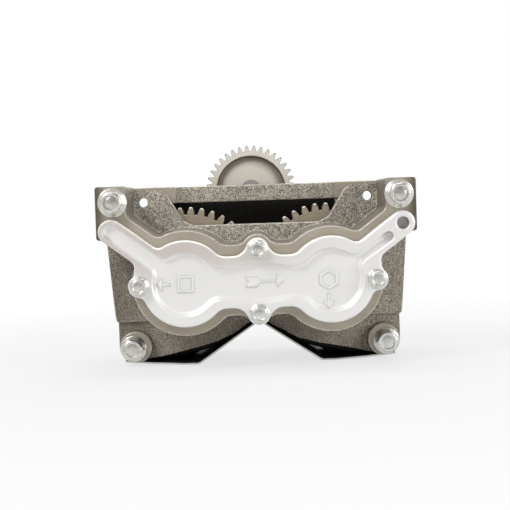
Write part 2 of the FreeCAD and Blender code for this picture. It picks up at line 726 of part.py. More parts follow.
def panel_outline():
    lobes = [disc(half_spacing * side, 0, S.panel_radius) for side in (-1, 1)]
    lobes.append(polygon(panel_waist_edge(1, S.panel_waist)
                         + panel_waist_edge(-1, S.panel_waist + 1.5)[::-1]))
    faces = [smoothed(joined(lobes), 16.0, 12.0)]
    slope_x = arm_end_x - S.arm_root_x
    slope_z = S.arm_end_z - S.arm_root_z
    share = 0.375
    faces.append(bar(-arm_end_x, S.arm_end_z, -S.arm_root_x + 8.0, S.arm_root_z - 6.0,
                     S.left_slot_radius))
    faces.append(bar(arm_end_x - slope_x * share, S.arm_end_z - slope_z * share - 1.7,
                     S.arm_root_x - 8.0, S.arm_root_z - 6.0, S.right_slot_radius))
    return smoothed(joined(faces), 7.0, 2.0)


def make_cover():
    blank = extruded("cover_blank", cover_outline(), cover_back, S.cover_thickness,
                     -S.cover_draft, forward=True)
    tools = [extruded("cover_panel", panel_outline(), cover_front, S.panel_depth, -S.panel_draft)]
    tools.append(rod("right_port", S.right_port_radius, S.right_port_depth,
                     arm_end_x, cover_front, S.arm_end_z))
    for number, (x, z) in enumerate(cover_bolt_places()):
        tools.append(rod(f"cover_hole_{number}", S.small_thread_radius + S.bolt_gap,
                         S.cover_thickness, x, cover_front, z))
    hand_in("end_cover", cut("end_cover", blank, tools))


def make_gasket():
    sheet_face = extruded("gasket_sheet", cover_outline(), cover_back, S.gasket_thickness)
    tools = []
    for number, (x, z) in enumerate(cover_bolt_places()):
        tools.append(rod(f"gasket_hole_{number}", S.small_thread_radius + S.bolt_gap,
                         S.gasket_thickness, x, cover_back, z))
    tools.append(extruded("gasket_window", gallery_outline(), cover_back, S.gasket_thickness))
    hand_in("cover_gasket", cut("cover_gasket", sheet_face, tools))


# Bolts with a hexagon head on a round flange

def flange_bolt(name, x, face, z, thread, length, flats, flange, flange_height, height,
                dome=None, backwards=False):
    """The head lies on the plane at face. The shank points back, or forward from behind."""
    head_way = ALONG_BACK if backwards else ALONG_FRONT
    shank_way = ALONG_FRONT if backwards else ALONG_BACK
    pieces = [
        cone(name + "_flange", flange, flats * 0.56, flange_height, x, face, z, head_way),
        hexagon(name + "_hexagon", flats, height, x, face, z, head_way),
        rod(name + "_shank", thread, length, x, face, z, shank_way),
    ]
    if dome is not None:
        pieces.append(rod(name + "_dome", dome, height + 1.4, x, face, z, head_way))
    return fused(name, pieces)


def make_bolts():
    small = []
    for number, (x, z) in enumerate(cover_bolt_places()):
        small.append(flange_bolt(
            f"cover_bolt_{number}", x, cover_front, z, S.small_thread_radius,
            S.cover_bolt_length, S.small_flats, S.small_flange_radius,
            S.flange_height * 0.7, S.small_head_height))
    hand_in_group("cover_bolts", small)
    upper = []
    lower = []
    for side, name in ((-1, "left"), (1, "right")):
        upper.append(flange_bolt(
            name + "_upper_bolt", upper_bolt_x * side, ZERO, S.upper_bolt_z,
            S.large_thread_radius, joint_face + S.thread_reach, S.large_flats,
            S.large_flange_radius, S.flange_height, S.large_head_height, S.large_dome_radius))
        lower.append(flange_bolt(
            name + "_lower_bolt", lower_bolt_x * side, lower_boss_face, -S.lower_bolt_z,
            S.large_thread_radius, S.lower_boss_depth + S.thread_reach, S.large_flats,
            S.large_flange_radius - 0.9, S.flange_height, S.large_head_height,
            S.large_dome_radius))
    hand_in_group("upper_casting_bolts", upper)
    hand_in_group("lower_casting_bolts", lower)


def make_dowels():
    dowels = []
    for side, name in ((-1, "left"), (1, "right")):
        dowels.append(rod(name + "_dowel", S.dowel_radius, S.dowel_length - S.end_float * 2,
                          dowel_x * side, joint_face - S.dowel_length / 2 + S.end_float,
                          S.dowel_z))
    hand_in_group("locating_dowels", dowels)


# Rear casting

def side_wall_outline(side):
    outer = wall_side_top - 0.8
    return polygon(mirrored(side, [
        (side_wall_inner, S.column_bottom + 4.0), (outer, S.column_bottom + 4.0),
        (outer, S.pad_bottom - 4.0), (wall_side_bottom - 0.8, -S.shoulder_drop),
        (lower_bolt_x + S.lower_column_radius, -S.lower_bolt_z),
        (lower_bolt_x, -S.lower_bolt_z), (side_wall_inner, -S.shoulder_drop)]))


def rear_wall_outline():
    edge = wall_side_top - 0.8
    right = [
        (0, S.rear_wall_top), (S.rail_inner + 8.0, S.rear_wall_top),
        (S.rail_inner + 20.0, S.rear_wall_top - 14.0), (column_inner, S.column_bottom + 14.0),
        (edge, S.column_bottom + 14.0), (edge, S.pad_bottom - 4.0),
        (wall_side_bottom - 0.8, -S.shoulder_drop),
        (lower_bolt_x + S.lower_column_radius, -S.lower_bolt_z),
        (lower_bolt_x, -S.lower_bolt_z - 8.0), (lower_bolt_x - 20.0, -S.lower_bolt_z - 6.0),
        (half_spacing, -S.lower_bolt_z), (S.boss_radius - 20.0, -S.lower_bolt_z + 20.0),
        (0, -S.tray_ridge_drop + 6.0)]
    left = mirrored(-1, right[1:-1])
    return smoothed(polygon(right + left[::-1]), 6.0, 3.0)


def tray_foot_outline(side):
    """Foot under a lower column, whose underside lies on the sloping flat of the tray."""
    inner = tray_flat_end + 2.0
    outer = tray_half - 1.0
    return polygon(mirrored(side, [
        (outer, tray_top(outer)), (inner, tray_top(inner)),
        (inner, -S.lower_bolt_z - 6.0), (outer, -S.lower_bolt_z)]))


def tray_top(x):
    """Height of the upper surface of a screwed flat at a distance from the middle."""
    share = (float(tray_half) - float(x)) / (float(tray_half) - float(tray_flat_end))
    return -float(S.tray_edge_drop) - share * float(S.tray_flat_drop - S.tray_edge_drop)


def cross_bar():
    """Bar under the block between the thick front ends of the rails, with filleted corners."""
    shelf = S.rail_inner + S.shelf_width
    bar_back = bar_front + S.bar_thickness
    plan = polygon([
        (-shelf, joint_face), (-S.rail_inner, joint_face), (-S.rail_inner, bar_front),
        (S.rail_inner, bar_front), (S.rail_inner, joint_face), (shelf, joint_face),
        (shelf, bar_back), (-shelf, bar_back)])
    outline = doc.addObject("Part::Feature", "cross_bar_outline")
    outline.Shape = smoothed(plan, float(S.bar_fillet), 1.5)
    place(outline, ZERO, ZERO, S.block_height - S.bar_height, ALONG_BACK)
    bar_solid = doc.addObject("Part::Extrusion", "cross_bar")
    bar_solid.Base = outline
    bar_solid.DirMode = "Custom"
    bar_solid.Dir = Vector(0, 0, 1)
    bar_solid.Solid = True
    return bind(bar_solid, LengthFwd=S.bar_height)


def make_rear_housing():
    length = S.rear_depth
    parts = [
        extruded("rear_wall", rear_wall_outline(), rear_wall_front, S.rear_wall_thickness),
        cross_bar(),
    ]
    for side, name in ((-1, "left"), (1, "right")):
        def span(inner, outer):
            return (inner, outer) if side > 0 else (-outer, -inner)
        parts.append(block(name + "_rail", span(S.rail_inner, S.pad_outer),
                           (joint_face, rear_face),
                           (S.block_height - S.rail_thickness, S.block_height)))
        parts.append(block(name + "_column", span(column_inner, S.pad_outer),
                           (joint_face, rear_face), (S.column_bottom, S.block_height)))
        parts.append(extruded(name + "_side_wall", side_wall_outline(side),
                              joint_face + S.side_wall_setback,
                              length - S.side_wall_setback))
        parts.append(rod(name + "_lower_column", S.lower_column_radius, length,
                         lower_bolt_x * side, joint_face, -S.lower_bolt_z))
        parts.append(extruded(name + "_tray_foot", tray_foot_outline(side),
                              joint_face + S.side_wall_setback, length - S.side_wall_setback))
        parts.append(rod(name + "_rear_hub", S.rear_hub_radius,
                         S.rear_wall_thickness + S.rear_hub_proud, half_spacing * side,
                         rear_wall_front - S.rear_hub_proud, ZERO))
        for number in (0, 1):
            parts.append(rod(f"{name}_block_boss_{number}", S.block_boss_radius,
                             S.block_boss_depth, block_hole_x * side,
                             joint_face + S.block_hole_setback + S.block_hole_pitch * number,
                             S.block_height - S.block_boss_depth, UPRIGHT))
    rough = fused("rear_rough", parts)
    tools = [extruded("below_tray_rear", below_tray_outline(), joint_face, length)]
    for side, name in ((-1, "left"), (1, "right")):
        tools.append(rod(name + "_rear_bore", bush_radius + S.fit_gap, length,
                         half_spacing * side, joint_face, ZERO))
        tapped = S.large_thread_radius + S.thread_gap
        tools.append(rod(name + "_upper_tapping", tapped, S.thread_reach + 3.0,
                         upper_bolt_x * side, joint_face, S.upper_bolt_z))
        tools.append(rod(name + "_lower_tapping", tapped, S.thread_reach + 3.0,
                         lower_bolt_x * side, joint_face, -S.lower_bolt_z))
        tools.append(rod(name + "_dowel_hole_rear", S.dowel_radius + S.fit_gap,
                         S.dowel_length / 2, dowel_x * side, joint_face, S.dowel_z))
        for number in (0, 1):
            tools.append(rod(f"{name}_block_hole_{number}", S.block_hole_radius,
                             S.block_boss_depth, block_hole_x * side,
                             joint_face + S.block_hole_setback + S.block_hole_pitch * number,
                             S.block_height - S.block_boss_depth, UPRIGHT))
    for number, (x, z) in enumerate(bracket_feet()):
        tools.append(rod(f"bracket_tapping_{number}", S.small_thread_radius + S.thread_gap,
                         S.rear_wall_thickness, x, rear_wall_front, z))
    for number, (x, y, tilt) in enumerate(tray_screw_places()):
        tools.append(tray_rod(f"tray_tapping_{number}", S.tray_screw_radius + S.thread_gap,
                              13.0, x, y, tilt, -1.0))
    hand_in("rear_housing", cut("rear_housing", rough, tools))


# Bushes and thrust washers

def make_bushes():
    inner = S.journal_radius + S.running_gap
    for side, name in ((-1, "left"), (1, "right")):
        x = half_spacing * side
        front_start = S.gallery_depth + 1.0
        front = ring(f"front_bush_{name}", inner, bush_radius, front_start,
                     joint_face - front_start)
        moved_to_block(f"front_bush_{name}", front, x)
        rear_start = rear_wall_front - S.rear_hub_proud
        rear = ring(f"rear_bush_{name}", inner, bush_radius, rear_start, rear_face - rear_start)
        moved_to_block(f"rear_bush_{name}", rear, x)
        for place_name, start in (("front", front_washer_face - S.end_float),
                                  ("rear", rear_washer_back + S.end_float
                                   - S.thrust_washer_thickness)):
            node = f"{place_name}_thrust_washer_{name}"
            washer = ring(node, inner + 0.2, S.thrust_washer_radius, start,
                          S.thrust_washer_thickness)
            moved_to_block(node, washer, x)


# Shafts, keys and weights

def shaft_section(rear_steps):
    return [
        (ZERO, shaft_front),
        (S.journal_radius, shaft_front),
        (S.journal_radius, gear_front),
        (S.seat_radius, gear_front),
        (S.seat_radius, gear_back),
        (S.collar_radius, gear_back),
        (S.collar_radius, weight_front),
        (S.seat_radius, weight_front),
        (S.seat_radius, shaft_shoulder),
        (S.journal_radius, shaft_shoulder),
    ] + rear_steps


def keyway(name, x, start, length, radius, width):
    """Space for a key that stands half in the shaft, above the axis."""
    return block(name, (x - width / 2, x + width / 2), (start, start + length),
                 (radius - S.key_height / 2, radius + S.key_height / 2))


def make_shafts():
    left_rear = [
        (S.journal_radius, rear_face + S.end_float),
        (S.drive_seat_radius, rear_face + S.end_float),
        (S.drive_seat_radius, drive_back),
        (S.drive_thread_radius, drive_back),
        (S.drive_thread_radius, drive_back + S.drive_washer_thickness + S.drive_nut_height + 2.0),
        (ZERO, drive_back + S.drive_washer_thickness + S.drive_nut_height + 2.0),
    ]
    groove = rear_face + S.end_float
    right_rear = [
        (S.journal_radius, groove),
        (S.journal_radius - 1.2, groove),
        (S.journal_radius - 1.2, groove + 1.6),
        (S.journal_radius, groove + 1.6),
        (S.journal_radius, groove + 4.0),
        (ZERO, groove + 4.0),
    ]
    for side, name, steps in ((-1, "left", left_rear), (1, "right", right_rear)):
        x = half_spacing * side
        blank = turned(name + "_shaft_turned", shaft_section(steps), x)
        key_slots = [
            keyway(name + "_gear_slot", x, gear_front + S.key_margin,
                   S.timing_width - S.key_margin * 2, S.seat_radius, S.key_width),
            keyway(name + "_weight_slot", x, weight_front + S.key_margin,
                   S.weight_width - S.key_margin * 2, S.seat_radius, S.key_width),
        ]
        if side < 0:
            key_slots.append(keyway("drive_slot", x, drive_front + S.key_margin,
                                    S.drive_width - S.key_margin * 2, S.drive_seat_radius,
                                    S.drive_key_width))
        hand_in(name + "_balance_shaft", cut(name + "_balance_shaft", blank, key_slots))
        gear_key = key(name + "_gear_key_bar", x, gear_front, S.timing_width, S.seat_radius,
                       S.key_width)
        hand_in_group(name + "_gear_key", [gear_key])
        weight_key = key(name + "_weight_key_bar", x, weight_front, S.weight_width, S.seat_radius,
                         S.key_width)
        hand_in_group(name + "_weight_key", [weight_key])
    drive_key = key("drive_gear_key_bar", -half_spacing, drive_front, S.drive_width,
                    S.drive_seat_radius, S.drive_key_width)
    hand_in_group("drive_gear_key", [drive_key])
    clip = ring("right_retaining_ring", S.journal_radius - 1.1, S.journal_radius + 3.5,
                groove + 0.1, Size(1.4, "1.4"))
    moved_to_block("right_retaining_ring", clip, half_spacing)


def key(name, x, start, length, radius, width):
    """A key a hair smaller than its slot all round."""
    gap = S.fit_gap
    slot = S.key_height / 2
    return block(name, (x - width / 2 + gap, x + width / 2 - gap),
                 (start + S.key_margin + gap, start + length - S.key_margin - gap),
                 (radius - slot + gap, radius + slot - gap))


def through_slot(name, x, start, length, radius, width):
    """Keyway in a gear or weight, open from end to end."""
    return block(name, (x - width / 2, x + width / 2), (start, start + length),
                 (ZERO, radius + S.key_height / 2))


def make_weights():
    for side, name in ((-1, "left"), (1, "right")):
        x = half_spacing * side
        half_moon = disc(x, 0, S.weight_radius).common(polygon([
            (x - S.weight_radius, S.key_height / -2), (x + S.weight_radius, S.key_height / -2),
            (x + S.weight_radius, -S.weight_radius), (x - S.weight_radius, -S.weight_radius)]))
        outline = smoothed(joined([half_moon.Faces[0], disc(x, 0, S.weight_hub_radius)]), 5.0, 2.0)
        blank = extruded(name + "_weight_blank", outline, weight_front, S.weight_width)
        tools = [
            rod(name + "_weight_bore", S.seat_radius + S.fit_gap, S.weight_width, x,
                weight_front, ZERO),
            through_slot(name + "_weight_way", x, weight_front, S.weight_width, S.seat_radius,
                         S.key_width),
        ]
        hand_in(name + "_weight", cut(name + "_weight", blank, tools))


def make_timing_gears():
    left_tooth = math.radians(LEFT_TOOTH_ANGLE)
    right_tooth = mating_tooth(0.0, left_tooth, TIMING_TEETH, TIMING_TEETH)
    module = S.shaft_spacing / TIMING_TEETH
    for side, name, tooth in ((-1, "left", left_tooth), (1, "right", right_tooth)):
        x = half_spacing * side
        gear = spur_gear(name + "_timing", TIMING_TEETH, module, S.timing_width, gear_front,
                         tooth, x, ZERO)
        tools = [
            rod(name + "_gear_bore", S.seat_radius + S.fit_gap, S.timing_width, x,
                gear_front, ZERO),
            through_slot(name + "_gear_way", x, gear_front, S.timing_width, S.seat_radius,
                         S.key_width),
        ]
        hand_in(name + "_timing_gear", cut(name + "_timing_gear", gear, tools))


# Drive gear on the left shaft, and the idler that brings the drive from the crankshaft

def idler_line():
    return math.atan2(float(idler_z), float(idler_reach))


def make_drive_gear():
    x = -half_spacing
    idler_tooth = math.radians(IDLER_TOOTH_ANGLE)
    tooth = mating_tooth(idler_line() + math.pi, idler_tooth, IDLER_TEETH, DRIVE_TEETH)
    gear = spur_gear("drive", DRIVE_TEETH, S.drive_module, S.drive_width, drive_front, tooth,
                     x, ZERO)
    tools = [
        rod("drive_bore", S.drive_seat_radius + S.fit_gap, S.drive_width, x, drive_front, ZERO),
        through_slot("drive_way", x, drive_front, S.drive_width, S.drive_seat_radius,
                     S.drive_key_width),
    ]
    hand_in("drive_gear", cut("drive_gear", gear, tools))
    washer = ring("drive_gear_washer", S.drive_thread_radius + S.bolt_gap,
                  S.drive_washer_radius, drive_back, S.drive_washer_thickness)
    moved_to_block("drive_gear_washer", washer, x)
    nut_face = drive_back + S.drive_washer_thickness
    nut = cut("drive_gear_nut", hexagon("drive_nut_hexagon", S.drive_nut_flats,
                                        S.drive_nut_height, x, nut_face, ZERO, ALONG_BACK),
              [rod("drive_nut_thread", S.drive_thread_radius + S.thread_gap,
                   S.drive_nut_height, x, nut_face, ZERO)])
    hand_in("drive_gear_nut", nut)


def make_idler():
    tooth = math.radians(IDLER_TOOTH_ANGLE)
    gear = spur_gear("idler", IDLER_TEETH, S.drive_module, S.drive_width, drive_front, tooth,
                     idler_x, idler_z)
    floor = drive_front + S.dish_depth
    dish = turned("idler_dish", [
        (ZERO, drive_front),
        (S.dish_radius, drive_front),
        (S.dish_radius - 2.0, floor),
        (S.dish_step_radius, floor - 1.0),
        (S.dish_step_radius, floor - 1.0 - S.dish_step_height),
        (ZERO, floor - 1.0 - S.dish_step_height),
    ], idler_x, idler_z)
    bush_outer = S.spindle_radius + S.idler_bush_wall
    bore = rod("idler_bore", bush_outer + S.fit_gap, S.drive_width, idler_x, drive_front, idler_z)
    hand_in("idler_gear", cut("idler_gear", gear, [dish, bore]))
    hub_face = floor - 1.0 - S.dish_step_height
    bush = ring("idler_bush", S.spindle_radius + S.running_gap, bush_outer, hub_face,
                drive_back - hub_face)
    moved_to_block("idler_bush", bush, idler_x, idler_z)
    spindle_front = hub_face - S.end_float
    spindle = turned("idler_spindle", [
        (S.idler_bolt_radius + S.thread_gap, spindle_front),
        (S.spindle_radius, spindle_front),
        (S.spindle_radius, bracket_back),
        (S.idler_bolt_radius + S.thread_gap, bracket_back),
    ])
    moved_to_block("idler_spindle", spindle, idler_x, idler_z)
    washer_front = spindle_front - S.idler_washer_thickness
    washer = ring("idler_washer", S.idler_bolt_radius + S.bolt_gap, S.idler_washer_radius,
                  washer_front, S.idler_washer_thickness)
    moved_to_block("idler_washer", washer, idler_x, idler_z)
    bolt = flange_bolt("idler_bolt", idler_x, washer_front, idler_z, S.idler_bolt_radius,
                       S.drive_width, S.idler_bolt_flats, S.idler_bolt_flats * 0.66,
                       Size(1.0, "1.0"), S.idler_bolt_head)
    hand_in("idler_bolt", bolt)
    thrust = ring("idler_thrust_washer", S.spindle_radius + 0.2, S.bracket_boss_radius - 1.0,
                  bracket_front - S.thrust_washer_thickness, S.thrust_washer_thickness)
    moved_to_block("idler_thrust_washer", thrust, idler_x, idler_z)


def bracket_feet():
    return [(S.upper_foot_x, S.upper_foot_z), (S.lower_foot_x, S.lower_foot_z)]


def bracket_outline():
    (x1, z1), (x2, z2) = bracket_feet()
    radius = S.bracket_foot_radius
    web = polygon([
        (idler_x + 2.0, idler_z + S.bracket_boss_radius * 0.8), (x1, z1 + radius),
        (x1 + radius * 0.9, z1), (x2 + radius * 0.9, z2), (x2 - radius * 0.8, z2),
        (idler_x - 2.0, idler_z - S.bracket_boss_radius * 0.9)])
    faces = [web, disc(idler_x, idler_z, S.bracket_boss_radius),
             disc(x1, z1, radius), disc(x2, z2, radius)]
    return smoothed(joined(faces), 8.0, 3.0)


def make_bracket():
    plate = extruded("bracket_plate", bracket_outline(), bracket_front, S.bracket_thickness)
    parts = [plate]
    tools = [rod("spindle_seat", S.spindle_radius + S.fit_gap, S.bracket_thickness, idler_x,
                 bracket_front, idler_z)]
    bolts = []
    reach = bracket_back - rear_face
    for number, (x, z) in enumerate(bracket_feet()):
        parts.append(rod(f"bracket_leg_{number}", S.bracket_foot_radius, reach, x, rear_face, z))
        tools.append(rod(f"bracket_hole_{number}", S.small_thread_radius + S.bolt_gap, reach,
                         x, rear_face, z))
        bolts.append(flange_bolt(
            f"bracket_bolt_{number}", x, bracket_back, z, S.small_thread_radius,
            reach + S.rear_wall_thickness - 2.0, S.small_flats, S.small_flange_radius,
            S.flange_height * 0.7, S.small_head_height, backwards=True))
    hand_in("idler_bracket", cut("idler_bracket", fused("bracket_rough", parts), tools))
    hand_in_group("bracket_bolts", bolts)


# Splash tray and its screws

def above_tray_outline():
    """Space above the tray. Its lower edge is the upper surface of the sheet."""
    half = [
        (tray_half + 10.0, tray_top(tray_half + 10.0)), (tray_flat_end, -S.tray_flat_drop),
        (half_spacing + 6.0, -S.tray_trough_drop), (S.tray_trough_x, -S.tray_trough_drop),
        (0, -S.tray_ridge_drop)]
    other = mirrored(-1, half[:-1])
    lid = [(-tray_half - 10.0, 0), (tray_half + 10.0, 0)]
    return smoothed(polygon(half + other[::-1] + lid), 5.0, 7.0)


def below_tray_outline():
    """What the castings may not reach, because the tray lies flat against them."""
    edge = tray_half + 9.0
    below = polygon([
        (-edge, -S.tray_ridge_drop), (edge, -S.tray_ridge_drop),
        (edge, -S.block_height * 2), (-edge, -S.block_height * 2)])
    return below.cut(above_tray_outline()).Faces[0]


def tray_outline():
    """Section of the folded sheet: two screwed flats, two troughs and a ridge."""
    inside = above_tray_outline()
    strip = grown(inside, float(S.tray_thickness)).cut(inside)
    limits = polygon([
        (-tray_half, -S.tray_ridge_drop + 10.0), (tray_half, -S.tray_ridge_drop + 10.0),
        (tray_half, -S.block_height * 2), (-tray_half, -S.block_height * 2)])
    return strip.common(limits).Faces[0]


def tray_screw_places():
    """Across, back and tilt of each tray screw."""
    drop = float(S.tray_flat_drop - S.tray_edge_drop)
    run = float(tray_half - tray_flat_end)
    tilt = math.degrees(math.atan2(drop, run))
    first = joint_face + S.side_wall_setback + 8.0
    return [(tray_screw_x * side, first + 24.0 * number, tilt * -side)
            for side in (-1, 1) for number in (0, 1)]


def tray_rod(name, radius, length, x, y, tilt, start, head=False):
    """A rod square to a sloping flat. It starts at a distance above the sheet's top."""
    top = tray_top(abs(float(x)))
    upward = FreeCAD.Rotation(Vector(0, 1, 0), tilt)
    base = Vector(float(x), float(y), top) + upward.multVec(Vector(0, 0, float(start)))
    obj = doc.addObject("Part::Prism" if head else "Part::Cylinder", name)
    if head:
        obj.Polygon = 6
        bind(obj, Circumradius=radius, Height=length)
    else:
        bind(obj, Radius=radius, Height=length)
    obj.Placement = FreeCAD.Placement(base, upward)
    return obj


def make_tray():
    sheet_metal = extruded("tray_sheet", tray_outline(), tray_front, S.tray_length)
    holes = []
    screws = []
    for number, (x, y, tilt) in enumerate(tray_screw_places()):
        under = -S.tray_thickness
        holes.append(tray_rod(f"tray_hole_{number}", S.tray_screw_radius + S.bolt_gap,
                              S.tray_thickness * 3, x, y, tilt, under * 2))
        shank = tray_rod(f"tray_shank_{number}", S.tray_screw_radius, 13.0 - under, x, y, tilt,
                         under - 1.0)
        head = tray_rod(f"tray_head_{number}", S.tray_screw_radius * 1.9, S.tray_screw_radius * 0.8,
                        x, y, tilt, under - S.tray_screw_radius * 0.8, head=True)
        screws.append(fused(f"tray_screw_{number}", [shank, head]))
    hand_in("splash_tray", cut("splash_tray", sheet_metal, holes))
    hand_in_group("tray_screws", screws)


# Build, test and write

def check_document():
    faults = []
    for obj in doc.Objects:
        if any(word in obj.State for word in ("Invalid", "Error")):
            faults.append(f"{obj.Name}: {obj.State}")
    for node, obj in NODES.items():
        shape = obj.Shape
        if shape.isNull() or not shape.isValid() or not shape.Solids:
            faults.append(f"{node}: no valid solid")
    if faults:
        raise SystemExit("\n".join(faults))


def main():
    make_front_housing()
    make_cover()
    make_gasket()
    make_bolts()
    make_dowels()
    make_rear_housing()
    make_bushes()
    make_shafts()
    make_weights()
    make_timing_gears()
    make_drive_gear()
    make_idler()
    make_bracket()
    make_tray()
    doc.recompute()
    check_document()
    os.makedirs("parts", exist_ok=True)
    for node, obj in NODES.items():
        obj.Shape.exportStep(f"parts/{node}.step")
        box = obj.Shape.BoundBox
        print(f"{node}: {len(obj.Shape.Solids)} solids, {obj.Shape.Volume / 1000:.1f} cm3, "
              f"X {box.XMin:.1f}..{box.XMax:.1f} Y {box.YMin:.1f}..{box.YMax:.1f} "
              f"Z {box.ZMin:.1f}..{box.ZMax:.1f}")


main()
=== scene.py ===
# %% [markdown]
# # Engine balancer
# An engine balancer holds two unbalanced shafts in an iron casting under the engine block. The
# solid model brings every piece in its real size and place. This lesson dresses those pieces:
# it rounds edges, adds the marks on the cover, and gives each surface the finish of its metal.
# The model comes in first, because all that follows is measured from it.

# %% Frame
import json
import math

import bmesh
import bpy
from mathutils import Matrix, Vector
from mathutils.bvhtree import BVHTree
from mathutils.kdtree import KDTree

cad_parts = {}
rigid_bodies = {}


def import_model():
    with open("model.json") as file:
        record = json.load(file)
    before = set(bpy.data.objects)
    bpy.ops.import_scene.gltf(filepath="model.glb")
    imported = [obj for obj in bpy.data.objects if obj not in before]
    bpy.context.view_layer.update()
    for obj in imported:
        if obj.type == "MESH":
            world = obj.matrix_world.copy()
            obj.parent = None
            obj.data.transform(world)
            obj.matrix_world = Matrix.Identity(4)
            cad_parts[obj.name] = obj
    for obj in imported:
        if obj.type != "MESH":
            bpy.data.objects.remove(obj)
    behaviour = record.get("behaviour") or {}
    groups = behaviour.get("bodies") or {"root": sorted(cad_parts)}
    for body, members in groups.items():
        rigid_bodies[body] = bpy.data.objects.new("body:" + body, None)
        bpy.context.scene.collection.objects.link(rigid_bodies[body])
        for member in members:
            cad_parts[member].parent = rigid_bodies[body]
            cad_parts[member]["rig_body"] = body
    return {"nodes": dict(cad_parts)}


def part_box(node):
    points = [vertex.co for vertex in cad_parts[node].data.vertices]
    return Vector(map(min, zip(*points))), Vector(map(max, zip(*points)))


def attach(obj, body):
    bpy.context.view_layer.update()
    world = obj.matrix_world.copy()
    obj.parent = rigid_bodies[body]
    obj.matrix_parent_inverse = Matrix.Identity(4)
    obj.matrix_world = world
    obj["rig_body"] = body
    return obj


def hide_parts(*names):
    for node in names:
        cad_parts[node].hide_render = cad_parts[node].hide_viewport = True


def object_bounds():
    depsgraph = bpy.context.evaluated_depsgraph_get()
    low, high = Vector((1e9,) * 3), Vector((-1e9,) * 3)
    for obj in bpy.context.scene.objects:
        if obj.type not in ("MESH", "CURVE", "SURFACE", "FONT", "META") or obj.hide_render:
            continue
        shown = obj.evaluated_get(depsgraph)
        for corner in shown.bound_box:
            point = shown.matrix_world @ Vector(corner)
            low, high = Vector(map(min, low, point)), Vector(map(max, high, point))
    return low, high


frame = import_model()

NODES = frame["nodes"]
CAD_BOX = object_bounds()
print("box of the solids in mm:", [round(v * 1000, 1) for corner in CAD_BOX for v in corner])

# %% [markdown]
# ## Places
# The drawing of the casting is measured from its gasket face and from the line through both
# shafts, while the model's origin is on the block face. One function turns a place of the
# drawing, in millimetres, into a place of the scene, in metres, so both use the same numbers.

# %% Places
MM = 0.001
GASKET_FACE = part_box("cover_gasket")[1].y
SHAFT_LINE = (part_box("rear_bush_left")[0].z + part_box("rear_bush_left")[1].z) / 2
COVER_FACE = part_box("end_cover")[0].y
COVER_RIM = (COVER_FACE - GASKET_FACE) / MM
PANEL_FLOOR = COVER_FACE + 6.0 * MM


def spot(x, y, z):
    """A place of the drawing: across, back from the gasket face, up from the shaft line."""
    return Vector((x * MM, GASKET_FACE + y * MM, z * MM + SHAFT_LINE))


def middle(node):
    """The middle of a solid's box."""
    low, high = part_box(node)
    return (low + high) / 2


print("gasket face y:", round(GASKET_FACE, 4), "shaft line z:", round(SHAFT_LINE, 4))

# %% [markdown]
# ## Camera
# The photograph looks straight at the cover from about one metre, a little from above, and
# leans by two degrees. A long lens keeps the sides of the casting nearly parallel. The place
# and the turn were worked out from the bolts, so the render lies over the photograph.

# %% Camera
PHOTO_PIXELS = 510
FOCAL_PIXELS = 1200.0
SENSOR = 36.0

camera_data = bpy.data.cameras.new("camera")
camera_data.sensor_width = SENSOR
camera_data.lens = SENSOR * FOCAL_PIXELS / PHOTO_PIXELS
camera_data.clip_start = 0.05
camera_data.clip_end = 50.0
camera = bpy.data.objects.new("camera", camera_data)
camera.location = (-0.00528, -1.14460, -0.02754)
camera.rotation_mode = "XYZ"
camera.rotation_euler = [math.radians(angle) for angle in (88.0353, 1.8929, -0.2387)]
bpy.context.scene.collection.objects.link(camera)
bpy.context.scene.camera = camera
print("lens:", round(camera_data.lens, 1), "mm")

# %% [markdown]
# ## Short words for node trees
# A material is a tree of nodes, and most of its lines only make a node and give its inputs
# something. `feed` does the second: it joins another node's output or sets a plain value.
# `add` makes a node and feeds its inputs, which are reached by number where names repeat, as
# on the Mix node. The other helpers each stand for one kind of node that returns often.

# %% Node helpers


def feed(tree, value, target):
    """Gives an input another node's output or a plain value. A plain colour is made solid."""
    if isinstance(value, bpy.types.NodeSocket):
        tree.links.new(value, target)
    else:
        target.default_value = (*value, 1.0) if target.type == "RGBA" else value


def add(tree, kind, inputs=None, **settings):
    made = tree.nodes.new(kind)
    for name, value in settings.items():
        setattr(made, name, value)
    for name, value in (inputs or {}).items():
        feed(tree, value, made.inputs[name])
    return made


def maths(tree, operation, first, second):
    return add(tree, "ShaderNodeMath", {0: first, 1: second}, operation=operation).outputs[0]


def times(tree, first, second):
    return maths(tree, "MULTIPLY", first, second)


def plus(tree, first, second):
    return maths(tree, "ADD", first, second)


def vectors(tree, operation, inputs, output="Vector"):
    """An output of a Vector Math node. A length or a distance is its output Value."""
    return add(tree, "ShaderNodeVectorMath", inputs, operation=operation).outputs[output]


def ramp(tree, value, low, high):
    """Stretches a value between two stops to the full range from 0 to 1."""
    return add(tree, "ShaderNodeMapRange", {"Value": value, "From Min": low, "From Max": high},
               clamp=True).outputs["Result"]


def blend_colours(tree, share, first, second):
    return add(tree, "ShaderNodeMix", {0: share, 6: first, 7: second},
               data_type="RGBA").outputs[2]


def lay_over(tree, under, mask, strength, over):
    """Lays a colour over another where a mask is, and no stronger than a number says."""
    return blend_colours(tree, times(tree, mask, strength), under, over)


def own_place(tree):
    """Where a point is on the axes of its piece, which are those of the scene for all here."""
    return add(tree, "ShaderNodeTexCoord").outputs["Object"]


def place_parts(tree):
    """The outputs X, Y and Z of a point's place."""
    return add(tree, "ShaderNodeSeparateXYZ", {0: own_place(tree)}).outputs


def attribute(tree, name):
    """A value that was painted on the faces of the mesh, or 0 where none was."""
    return add(tree, "ShaderNodeAttribute", attribute_name=name).outputs["Fac"]


def noise(tree, place, scale, detail, roughness=0.5):
    return add(tree, "ShaderNodeTexNoise", {"Vector": place, "Scale": scale, "Detail": detail,
                                            "Roughness": roughness}).outputs[0]


print("node helpers ready")

